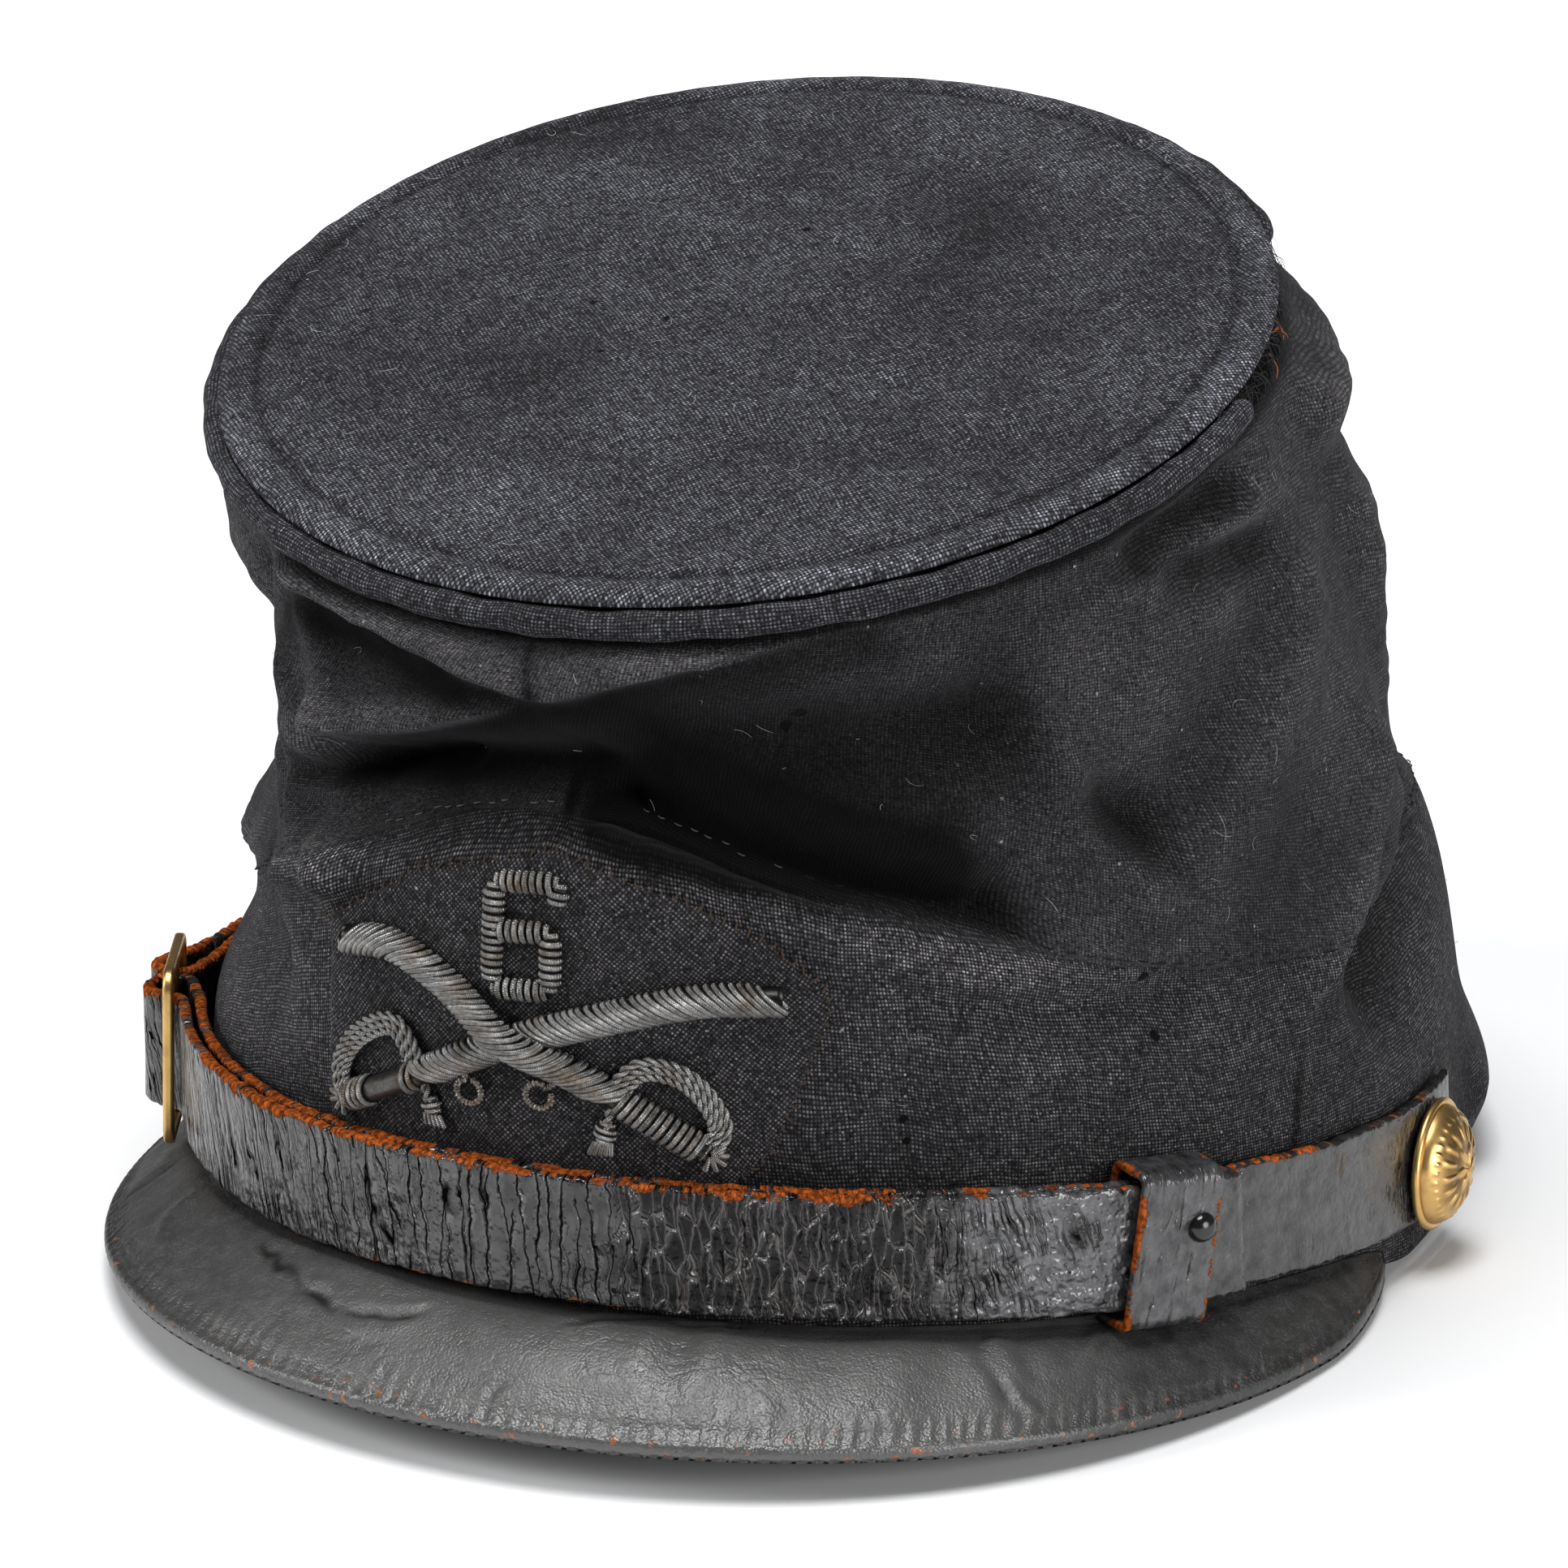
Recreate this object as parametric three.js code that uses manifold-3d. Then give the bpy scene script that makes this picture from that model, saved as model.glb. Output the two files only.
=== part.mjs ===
import * as THREE from 'three';
import { mergeVertices } from 'three/addons/utils/BufferGeometryUtils.js';
import Module from 'manifold-3d';

// A soft forage cap. Millimetres and degrees, +Z up, the front of the cap faces -Y.
// Angles go round the head from the front (0) towards the wearer's left (90, +X).

const rim = { halfWidth: 83, front: -87, back: 109 };
const seam = { halfWidth: 79.5, front: -88, back: 100 };
const tip = {
  radius: 69.2, centreY: -22.6, centreZ: 128.6, tilt: 15.45, dome: 1.2, edgeDrop: 1.5, roll: 1.3, wall: 2,
};
const welt = { cord: 3.8, ring: 69.6, tornFrom: 90, tornTo: 126 };
const wall = { band: 2.4, crown: 1.8, bandBarrel: 1.5 };
const visor = {
  halfWidth: 88.7, sideY: -9.5, front: -109, squareness: 2.11, arch: 5, leather: 2.2, bow: 3.4, endAngle: 84,
};
const strap = { width: 17.5, leather: 1.6 };
const keeper = { angle: 54.2, length: 12.5, leather: 1.2, slack: 0.85, layers: 3.6, stand: 4.2 };
const stud = { radius: 2, height: 1.6, alongStrap: 3.5, upStrap: 3 };
const buckle = { angle: -61, stand: 5.7, length: 22.4, height: 24.8, bar: 2, metal: 1.5, corner: 3 };
const button = { radius: 9, dome: 5, lip: 1.2, angle: 91, drop: 1.5 };
const patch = { cloth: 1, stand: 0.75, shift: 2.2, lift: 1.9 };
const bullion = {
  padding: 2.2, bladeWidth: 3.8, gripWidth: 3.4, guardWidth: 2.6, guardHeight: 1.4, numeralWidth: 2.5,
};
const gap = 0.3;
const faces = { around: 64, bandUp: 6, crownUp: 12, weltSteps: 50, weltSides: 6, tipSides: 48 };

// Lower edge and upper seam of the band, and the strap's lower edge, at stations round the head.
const stations = [
  { angle: -180, rise: 0, seam: 50, strapLow: 9 },
  { angle: -120, rise: 0, seam: 48, strapLow: 9 },
  { angle: -90, rise: 0.5, seam: 46, strapLow: 10.5 },
  { angle: -78, rise: 4.5, seam: 46.5, strapLow: 12 },
  { angle: -60, rise: 8.5, seam: 48, strapLow: 14.2 },
  { angle: -30, rise: 13, seam: 66, strapLow: 17 },
  { angle: 0, rise: 14.2, seam: 79.5, strapLow: 18.8 },
  { angle: 30, rise: 12.2, seam: 69.5, strapLow: 17.2 },
  { angle: 60, rise: 8, seam: 55.5, strapLow: 12.2 },
  { angle: 78, rise: 4.5, seam: 51, strapLow: 8.2 },
  { angle: 90, rise: 0, seam: 50, strapLow: 6.1 },
  { angle: 120, rise: 0, seam: 50, strapLow: 6 },
];

// Folds of the slack cloth, each a stroke from one place to another on the wall, given as [angle, height].
// Sideways bow of the stroke, reach above and below it, and depth (out is positive).
const folds = [
  { name: 'lip, wearer right', from: [-31, 105.2], to: [0.5, 98.1], bow: 0.8, above: 6, below: 1.3, depth: 4 },
  { name: 'lip, wearer left', from: [7.5, 98.4], to: [38, 108.6], bow: 0.8, above: 6, below: 1.1, depth: 4 },
  { name: 'hollow under the lip', from: [13, 91], to: [46, 93], bow: 0, above: 6, below: 10, depth: -6 },
  { name: 'second flap', from: [-21, 87.5], to: [-6, 93.2], bow: -1, above: 5, below: 1.3, depth: 5 },
  { name: 'worn ridge, right', from: [-28, 101], to: [-22, 85], bow: 1, above: 3.5, below: 3.5, depth: 2.2 },
  { name: 'recess, right', from: [-22, 80.5], to: [4, 86.5], bow: 0.8, above: 4, below: 3.4, depth: -9 },
  { name: 'crease, left', from: [9, 79.5], to: [43, 64.5], bow: 0.6, above: 9, below: 1.1, depth: -10 },
  { name: 'front corner ridge', from: [-31, 92], to: [-23, 68], bow: -1.5, above: 5, below: 3, depth: 2.6 },
  { name: 'right pleat', from: [-41, 100], to: [-36, 66], bow: 0, above: 4, below: 5, depth: -4.5 },
  { name: 'right waist', from: [-112, 86], to: [-47, 84], bow: 0, above: 10, below: 14, depth: -13 },
  { name: 'right bulge', from: [-85, 58], to: [-42, 67], bow: 0, above: 5, below: 5, depth: 1 },
  { name: 'right overlap', from: [-72, 53], to: [-22, 65.5], bow: -1.5, above: 6, below: 1.6, depth: 2 },
  { name: 'right pinch', from: [-100, 44], to: [-34, 50], bow: -2, above: 7, below: 9, depth: -4 },
  { name: 'left dimple', from: [58, 78], to: [61, 74.5], bow: 0, above: 4.5, below: 4.5, depth: -4.2 },
  { name: 'ridge by the dimple', from: [54.5, 84], to: [60, 68], bow: 0, above: 2.6, below: 6, depth: 1.8 },
  { name: 'left diagonal valley', from: [63, 78.5], to: [86, 95], bow: 0, above: 8, below: 5, depth: -2.6 },
  { name: 'left diagonal ridge', from: [66, 70], to: [92, 98], bow: -1, above: 5, below: 7, depth: 2.4 },
  { name: 'hollow by the welt', from: [70, 111], to: [84, 116], bow: 0, above: 4, below: 3.4, depth: -4.4 },
  { name: 'second hollow', from: [75, 107], to: [88, 105.5], bow: 0, above: 3.4, below: 4, depth: -3.6 },
  { name: 'ridge by the welt', from: [66, 107], to: [84, 111.5], bow: 0, above: 2.5, below: 2.5, depth: 1.5 },
  { name: 'left rear crease', from: [79, 49], to: [98, 71], bow: -1, above: 8, below: 1.8, depth: 3 },
  { name: 'left rear hollow', from: [87, 44], to: [116, 62], bow: -1, above: 3.5, below: 10, depth: -6 },
  { name: 'left rear bulge', from: [112, 98], to: [150, 95], bow: 0, above: 14, below: 15, depth: 4.5 },
  { name: 'left rear pinch', from: [112, 62], to: [175, 60], bow: 0, above: 8, below: 8, depth: -6 },
  { name: 'left shoulder', from: [108, 119], to: [140, 126], bow: 0, above: 6, below: 6, depth: 6 },
  { name: 'seam groove', from: [37, 56.5], to: [58, 52.5], bow: -1, above: 2.6, below: 5, depth: -2.2 },
  { name: 'roll of the band top', from: [-26, 73.5], to: [6, 80.5], bow: 1, above: 5, below: 3.6, depth: -6 },
  { name: 'rear valley', from: [165, 112], to: [230, 96], bow: 3, above: 9, below: 9, depth: -6 },
  { name: 'rear ridge', from: [170, 84], to: [236, 76], bow: 0, above: 9, below: 9, depth: 4 },
  { name: 'rear pinch', from: [180, 59], to: [255, 55], bow: 0, above: 8, below: 8, depth: -6 },
  { name: 'left rear swell', from: [113, 10], to: [128, 10], bow: 0, above: 9, below: 9, depth: 3.8 },
  { name: 'right draw', from: [-100, 64], to: [-42, 62], bow: 0, above: 10, below: 10, depth: -6 },
  { name: 'slit, right', from: [-28, 77.5], to: [-14, 82], bow: 0, above: 3, below: 1.4, depth: -5 },
];
const foldScale = { acrossPerDegree: 1.42, ends: 6, fade: 0.08 };

// Run of each strap: angle round the head and the stand of its middle off the band.
const longRun = [
  { angle: 97, stand: 1.4 },
  { angle: 85, stand: 1.4 },
  { angle: 70, stand: 2.2 },
  { angle: 55, stand: 3.2 },
  { angle: 40, stand: 2.8 },
  { angle: 20, stand: 2.8 },
  { angle: 0, stand: 2.8 },
  { angle: -20, stand: 2.8 },
  { angle: -38, stand: 2.2 },
  { angle: -50, stand: 1.7 },
  { angle: -56, stand: 1.7 },
  { angle: -59, stand: 2.4 },
  { angle: -61.5, stand: 3.1 },
  { angle: -63.3, stand: 5.7 },
  { angle: -61.7, stand: 8.7 },
  { angle: -59.5, stand: 8.7 },
  { angle: -58, stand: 6.6 },
  { angle: -56.7, stand: 4.4 },
  { angle: -54.5, stand: 3.8 },
  { angle: -50, stand: 3.9 },
  { angle: -38, stand: 4.3 },
  { angle: -20, stand: 4.9 },
  { angle: 0, stand: 4.9 },
  { angle: 20, stand: 4.9 },
  { angle: 40, stand: 4.9 },
  { angle: 55, stand: 5.2 },
  { angle: 62, stand: 5 },
];
const shortRun = [
  { angle: -97, stand: 1.4 },
  { angle: -85, stand: 1.4 },
  { angle: -75, stand: 1.5 },
  { angle: -70, stand: 2 },
  { angle: -67.4, stand: 3.2 },
  { angle: -65.6, stand: 3.3 },
  { angle: -64.7, stand: 6 },
  { angle: -65.6, stand: 8.9 },
  { angle: -67.8, stand: 8.9 },
  { angle: -71, stand: 5.8 },
  { angle: -76, stand: 3.9 },
  { angle: -80, stand: 3.8 },
];

// Outline of the patch: low and high edge at places across the front of the band.
const patchEdges = [
  { across: -31, low: 33, high: 60 },
  { across: -16, low: 27, high: 70 },
  { across: 3, low: 24, high: 75 },
  { across: 20, low: 28, high: 70 },
  { across: 30, low: 38, high: 65 },
  { across: 37, low: 55.5, high: 58.5 },
];

// Embroidered sabres and numeral: places across the front of the band and up it.
const sabreOver = {
  blade: [[-27, 58.6], [-18, 59.4], [-1.4, 51.2], [12, 44]],
  grip: [[11, 44.6], [22.5, 37.6]],
  guard: [[10.5, 43.6], [14.6, 48.4], [20, 47.4], [23.8, 41.5], [22.6, 38]],
  knot: [[11, 43.5], [9.4, 36.6]],
  lift: 3,
};
const sabreUnder = {
  blade: [[31.7, 58], [21, 57.6], [-1.4, 50.3], [-15, 43]],
  grip: [[-14, 43.4], [-27, 36.8]],
  guard: [[-14.6, 44], [-18.4, 49], [-24.4, 46], [-27.4, 41], [-27, 37.4]],
  knot: [[-14, 42.6], [-12.4, 36.8]],
  lift: 0,
};
const numeralBars = [
  { name: 'stem', from: [-4, 71.6], to: [-4.4, 57.4] },
  { name: 'top', from: [-4, 71.9], to: [4.8, 72.7] },
  { name: 'hook', from: [4.8, 72.7], to: [4.3, 69] },
  { name: 'middle', from: [-4.2, 64.4], to: [3.5, 65.1] },
  { name: 'side', from: [3.5, 65.1], to: [3.4, 57.4] },
  { name: 'foot', from: [-4.4, 56.8], to: [3.4, 57.4] },
];
const acrossPerDegree = 1.42;

const colours = {
  wool: { color: 0x1b1d22, roughness: 0.95, metalness: 0 },
  patchCloth: { color: 0x151619, roughness: 0.9, metalness: 0 },
  visorLeather: { color: 0x1d1b1a, roughness: 0.5, metalness: 0 },
  strapLeather: { color: 0x1a1716, roughness: 0.35, metalness: 0 },
  brass: { color: 0xb98a3c, roughness: 0.3, metalness: 1 },
  bullion: { color: 0x5d5a55, roughness: 0.5, metalness: 0.7 },
  darkMetal: { color: 0x222222, roughness: 0.4, metalness: 0.6 },
};

const radians = THREE.MathUtils.degToRad;
const cap = new THREE.Group();

function addPiece(name, geometry, finish) {
  const piece = new THREE.Mesh(geometry, new THREE.MeshStandardMaterial(colours[finish]));
  piece.name = name;
  cap.add(piece);
  return piece;
}

// A column of the stations at any angle: cubic pieces whose slopes come from the neighbouring stations.
function stationValue(column, angle) {
  const count = stations.length;
  const turned = ((((angle + 180) % 360) + 360) % 360) - 180;
  const row = (index) => {
    const turn = Math.floor(index / count);
    const station = stations[index - turn * count];
    return { angle: station.angle + 360 * turn, value: station[column] };
  };
  let index = count - 1;
  while (stations[index].angle > turned) index -= 1;
  const [before, start, end, after] = [index - 1, index, index + 1, index + 2].map(row);
  const span = end.angle - start.angle;
  const t = (turned - start.angle) / span;
  const slopeStart = ((end.value - before.value) / (end.angle - before.angle)) * span;
  const slopeEnd = ((after.value - start.value) / (after.angle - start.angle)) * span;
  const t2 = t * t;
  const t3 = t2 * t;
  return start.value * (2 * t3 - 3 * t2 + 1) + slopeStart * (t3 - 2 * t2 + t)
    + end.value * (3 * t2 - 2 * t3) + slopeEnd * (t3 - t2);
}

// A point of an oval section of the head at an angle.
function ovalPoint(section, angle, height) {
  const middle = (section.front + section.back) / 2;
  const half = (section.back - section.front) / 2;
  const a = radians(angle);
  return new THREE.Vector3(section.halfWidth * Math.sin(a), middle - half * Math.cos(a), height);
}

// Level outward direction of an oval section at an angle.
function ovalNormal(section, angle) {
  const half = (section.back - section.front) / 2;
  const a = radians(angle);
  return new THREE.Vector3(half * Math.sin(a), -section.halfWidth * Math.cos(a), 0).normalize();
}

// Depth of all folds at a place on the wall: each is a ridge or valley along a bowed stroke,
// with its own reach on either side, running out past its ends.
function foldDepth(angle, height) {
  let depth = 0;
  for (const fold of folds) {
    const [angle0, height0] = fold.from;
    const [angle1, height1] = fold.to;
    const along = new THREE.Vector2((angle1 - angle0) * foldScale.acrossPerDegree, height1 - height0);
    const length = along.length();
    along.divideScalar(length);
    const turn = 360 * Math.round(((angle0 + angle1) / 2 - angle) / 360);
    const place = new THREE.Vector2((angle + turn - angle0) * foldScale.acrossPerDegree, height - height0);
    const run = place.dot(along);
    const share = THREE.MathUtils.clamp(run / length, 0, 1);
    const sideways = place.cross(along) * -1 - 4 * fold.bow * share * (1 - share);
    const reach = sideways > 0 ? fold.above : fold.below;
    const past = (run - share * length) / foldScale.ends;
    depth += fold.depth * Math.exp(-((sideways / reach) ** 2) - past ** 2);
  }
  return depth;
}

function bandHeightShare(angle, height) {
  const low = stationValue('rise', angle);
  return (height - low) / (stationValue('seam', angle) - low);
}

// Outer face of the band at an angle, from the rim (share 0) to the seam (share 1).
function bandPoint(angle, share) {
  const low = ovalPoint(rim, angle, Math.max(0, stationValue('rise', angle)));
  const high = ovalPoint(seam, angle, stationValue('seam', angle));
  const point = low.lerp(high, share);
  const barrel = 4 * wall.bandBarrel * share * (1 - share);
  const settled = THREE.MathUtils.smoothstep(share, -0.1, 0.25);
  return point.addScaledVector(ovalNormal(rim, angle), barrel + foldDepth(angle, point.z) * settled);
}

// A place on the front of the band, standing off its face.
function onBand(angle, height, stand) {
  const point = bandPoint(angle, bandHeightShare(angle, height));
  return point.addScaledVector(ovalNormal(rim, angle), stand);
}

// Lies in the plane of the tip, at an angle round its edge and a distance below its top.
function tipPoint(radius, angle, below) {
  const a = radians(angle);
  const flat = new THREE.Vector3(radius * Math.sin(a), -radius * Math.cos(a), -below);
  flat.applyAxisAngle(new THREE.Vector3(1, 0, 0), radians(tip.tilt));
  return flat.add(new THREE.Vector3(0, tip.centreY, tip.centreZ));
}

// Outer face of the crown at an angle, from the seam (share 0) to under the welt (share 1).
function crownPoint(angle, share) {
  const low = ovalPoint(seam, angle, stationValue('seam', angle) + gap);
  const below = tip.edgeDrop + welt.cord + 2 * gap;
  const high = tipPoint(tip.radius, angle, below);
  const point = low.lerp(high, share);
  const held = 1 - THREE.MathUtils.smoothstep(share, 1 - foldScale.fade, 1);
  return point.addScaledVector(ovalNormal(rim, angle), foldDepth(angle, point.z) * held);
}

// A closed sheet from a face given on a grid: the back lies one thickness behind the face.
// Where an edge direction is given, the first and last rows keep to it, so that two edges meet squarely.
function sheetSolid({ face, columns, rows, thickness, wrap = false, centred = false, edge = null }) {
  const across = wrap ? columns : columns + 1;
  const grid = [];
  for (let i = 0; i < across; i += 1) {
    grid.push([]);
    for (let j = 0; j <= rows; j += 1) grid[i].push(face(i / columns, j / rows));
  }
  const column = (i) => (wrap ? (i + across) % across : THREE.MathUtils.clamp(i, 0, across - 1));
  const level = (j) => THREE.MathUtils.clamp(j, 0, rows);
  const positions = [];
  const push = (point) => positions.push(point.x, point.y, point.z);
  const normals = grid.map((line, i) => line.map((point, j) => {
    if (edge && (j === 0 || j === rows)) return edge(i / columns);
    const along = grid[column(i + 1)][j].clone().sub(grid[column(i - 1)][j]);
    const up = line[level(j + 1)].clone().sub(line[level(j - 1)]);
    return along.cross(up).normalize();
  }));
  const frontStep = centred ? thickness / 2 : 0;
  for (const step of [frontStep, frontStep - thickness]) {
    grid.forEach((line, i) => line.forEach((point, j) => {
      push(point.clone().addScaledVector(normals[i][j], step));
    }));
  }
  const indices = [];
  const front = (i, j) => column(i) * (rows + 1) + j;
  const back = (i, j) => front(i, j) + across * (rows + 1);
  const quad = (a, b, c, d) => indices.push(a, b, c, a, c, d);
  for (let i = 0; i < columns; i += 1) {
    for (let j = 0; j < rows; j += 1) {
      quad(front(i, j), front(i + 1, j), front(i + 1, j + 1), front(i, j + 1));
      quad(back(i, j), back(i, j + 1), back(i + 1, j + 1), back(i + 1, j));
    }
    quad(front(i + 1, 0), front(i, 0), back(i, 0), back(i + 1, 0));
    quad(front(i, rows), front(i + 1, rows), back(i + 1, rows), back(i, rows));
  }
  if (!wrap) {
    for (let j = 0; j < rows; j += 1) {
      quad(front(0, j), front(0, j + 1), back(0, j + 1), back(0, j));
      quad(front(columns, j + 1), front(columns, j), back(columns, j), back(columns, j + 1));
    }
  }
  const geometry = new THREE.BufferGeometry();
  geometry.setAttribute('position', new THREE.Float32BufferAttribute(positions, 3));
  geometry.setIndex(indices);
  return geometry;
}

// A padded rod: half-oval sections carried along a line of places on the band.
function paddedRod({ places, steps, width, height, stand, sides = 6 }) {
  const line = new THREE.CatmullRomCurve3(places.map(([x, y]) => new THREE.Vector3(x, y, 0)));
  const angleAt = (place) => (place.x + patch.shift) / acrossPerDegree;
  const at = (place) => onBand(angleAt(place), place.y + patch.lift, 0);
  const positions = [];
  for (let i = 0; i <= steps; i += 1) {
    const share = i / steps;
    const place = line.getPoint(share);
    const slope = line.getTangent(share);
    const normal = ovalNormal(rim, angleAt(place));
    const ahead = at(place.clone().addScaledVector(slope, 0.5));
    const along = ahead.sub(at(place.clone().addScaledVector(slope, -0.5)));
    const side = normal.clone().cross(along).normalize();
    const base = at(place).addScaledVector(normal, stand(place));
    for (let k = 0; k < sides; k += 1) {
      const turn = (Math.PI * k) / (sides - 1);
      const point = base.clone().addScaledVector(side, (width / 2) * Math.cos(turn));
      point.addScaledVector(normal, height * Math.sin(turn));
      positions.push(point.x, point.y, point.z);
    }
  }
  const indices = [];
  const ring = (i, k) => i * sides + (k % sides);
  for (let i = 0; i < steps; i += 1) {
    for (let k = 0; k < sides; k += 1) {
      indices.push(ring(i, k), ring(i, k + 1), ring(i + 1, k + 1));
      indices.push(ring(i, k), ring(i + 1, k + 1), ring(i + 1, k));
    }
  }
  for (let k = 1; k < sides - 1; k += 1) {
    indices.push(ring(0, 0), ring(0, k + 1), ring(0, k));
    indices.push(ring(steps, 0), ring(steps, k), ring(steps, k + 1));
  }
  const geometry = new THREE.BufferGeometry();
  geometry.setAttribute('position', new THREE.Float32BufferAttribute(positions, 3));
  geometry.setIndex(indices);
  return geometry;
}

const wasm = await Module();
wasm.setup();

function toManifold(geometry) {
  const bare = geometry.clone();
  for (const name of ['normal', 'uv']) bare.deleteAttribute(name);
  const merged = mergeVertices(bare, 1e-4);
  const vertProperties = new Float32Array(merged.attributes.position.array);
  const triVerts = new Uint32Array(merged.index.array);
  return new wasm.Manifold(new wasm.Mesh({ numProp: 3, vertProperties, triVerts }));
}

// One solid from several that overlap.
function joined(geometries) {
  const whole = geometries.map(toManifold).reduce((sum, part) => sum.add(part));
  const mesh = whole.getMesh();
  const geometry = new THREE.BufferGeometry();
  geometry.setAttribute('position', new THREE.Float32BufferAttribute(mesh.vertProperties, 3));
  geometry.setIndex(Array.from(mesh.triVerts));
  return geometry;
}

function strapMiddle(angle) {
  return stationValue('strapLow', angle) + strap.width / 2;
}

// Places a geometry built on the XY plane against the strap: X along the strap, Y up it, Z outward.
function againstStrap(geometry, angle, stand, drop = 0) {
  const middle = (turn) => onBand(turn, strapMiddle(turn) - drop, stand);
  const along = middle(angle + 1).sub(middle(angle - 1)).normalize();
  const half = strap.width / 2;
  const top = onBand(angle, strapMiddle(angle) + half, stand);
  const lean = top.sub(onBand(angle, strapMiddle(angle) - half, stand));
  const outward = along.clone().cross(lean).normalize();
  const up = outward.clone().cross(along);
  const place = new THREE.Matrix4().makeBasis(along, up, outward);
  place.setPosition(middle(angle));
  return geometry.applyMatrix4(place);
}

function roundedRectangle(Type, width, height, corner) {
  const shape = new Type();
  const x = width / 2 - corner;
  const y = height / 2 - corner;
  shape.absarc(x, y, corner, 0, Math.PI / 2);
  shape.absarc(-x, y, corner, Math.PI / 2, Math.PI);
  shape.absarc(-x, -y, corner, Math.PI, 1.5 * Math.PI);
  shape.absarc(x, -y, corner, 1.5 * Math.PI, 2 * Math.PI);
  return shape;
}

function makeBand() {
  const face = (u, v) => bandPoint(360 * u, v);
  const edge = (u) => ovalNormal(rim, 360 * u);
  const size = { columns: faces.around, rows: faces.bandUp, thickness: wall.band };
  return sheetSolid({ face, ...size, wrap: true, edge });
}

function makeCrown() {
  const face = (u, v) => crownPoint(360 * u, v);
  const edge = (u) => ovalNormal(rim, 360 * u);
  const size = { columns: faces.around, rows: faces.crownUp, thickness: wall.crown };
  return sheetSolid({ face, ...size, wrap: true, edge });
}

// A stiffened disc: domed top, rolled edge and flat underside.
function makeTip() {
  const r = tip.radius;
  const nearEdge = r - 5;
  const profile = [
    new THREE.Vector2(0, -tip.wall),
    new THREE.Vector2(nearEdge, -tip.wall),
    new THREE.Vector2(r - 0.4, -tip.edgeDrop),
    new THREE.Vector2(r, -tip.roll),
    new THREE.Vector2(r - tip.roll * 0.5, -tip.roll * 0.5),
    new THREE.Vector2(nearEdge, tip.dome * 0.1),
    new THREE.Vector2(r / 2, tip.dome * 0.75),
    new THREE.Vector2(0, tip.dome),
  ];
  const geometry = new THREE.LatheGeometry(profile, faces.tipSides);
  geometry.rotateX(Math.PI / 2 + radians(tip.tilt));
  return geometry.translate(0, tip.centreY, tip.centreZ);
}

// The cord runs round the tip from one end of the torn stretch to the other.
function makeWelt() {
  const below = tip.edgeDrop + gap + welt.cord / 2;
  const turn = 360 - (welt.tornTo - welt.tornFrom);
  const places = [];
  for (let i = 0; i <= faces.weltSteps; i += 1) {
    places.push(tipPoint(welt.ring, welt.tornTo + (turn * i) / faces.weltSteps, below));
  }
  const section = new THREE.Shape();
  section.absarc(0, 0, welt.cord / 2, 0, 2 * Math.PI);
  return new THREE.ExtrudeGeometry(section, {
    steps: faces.weltSteps,
    curveSegments: faces.weltSides / 2,
    extrudePath: new THREE.CatmullRomCurve3(places),
  });
}

// Upper face of the peak: u goes along it, v from the sewn edge to the free edge.
function visorPoint(u, v) {
  const side = 2 * u - 1;
  const angle = side * visor.endAngle;
  const rise = Math.max(0, stationValue('rise', angle)) + visor.leather;
  const inner = ovalPoint(rim, angle, rise).addScaledVector(ovalNormal(rim, angle), 2 * gap);
  const turn = (Math.PI / 2) * side;
  const power = 2 / visor.squareness;
  const x = visor.halfWidth * Math.sign(side) * Math.abs(Math.sin(turn)) ** power;
  const y = visor.sideY + (visor.front - visor.sideY) * Math.cos(turn) ** power;
  const lift = visor.arch * (1 - Math.abs(x / visor.halfWidth) ** 3);
  const outer = new THREE.Vector3(x, y, lift + visor.leather);
  const point = inner.lerp(outer, v);
  point.z += 4 * visor.bow * v * (1 - v) * Math.cos(turn);
  return point;
}

function makeVisor() {
  const face = (u, v) => visorPoint(u, 1 - v);
  const edge = () => new THREE.Vector3(0, 0, 1);
  return sheetSolid({ face, columns: 44, rows: 5, thickness: visor.leather, edge });
}

// A leather ribbon that follows a run of stations; v goes up its width.
function makeStrap(run, stepsPerStation) {
  const places = run.map((station) => new THREE.Vector3(station.angle, station.stand, 0));
  const line = new THREE.CatmullRomCurve3(places);
  const face = (u, v) => {
    const place = line.getPoint(u);
    const low = stationValue('strapLow', place.x);
    return onBand(place.x, low + v * strap.width, place.y);
  };
  const columns = (run.length - 1) * stepsPerStation;
  return sheetSolid({ face, columns, rows: 1, thickness: strap.leather, centred: true });
}

// A flat sleeve round both layers of the strap.
function makeKeeper() {
  const inside = { depth: keeper.layers + 2 * keeper.slack, height: strap.width + 2 * keeper.slack };
  const outline = roundedRectangle(
    THREE.Shape,
    inside.height + 2 * keeper.leather,
    inside.depth + 2 * keeper.leather,
    keeper.leather,
  );
  outline.holes.push(roundedRectangle(THREE.Path, inside.height, inside.depth, 0.4));
  const extrusion = { depth: keeper.length, bevelEnabled: false, curveSegments: 2 };
  const geometry = new THREE.ExtrudeGeometry(outline, extrusion);
  geometry.translate(0, 0, -keeper.length / 2);
  geometry.applyMatrix4(new THREE.Matrix4().makeBasis(
    new THREE.Vector3(0, 1, 0),
    new THREE.Vector3(0, 0, 1),
    new THREE.Vector3(1, 0, 0),
  ));
  return againstStrap(geometry, keeper.angle, keeper.stand);
}

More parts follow.
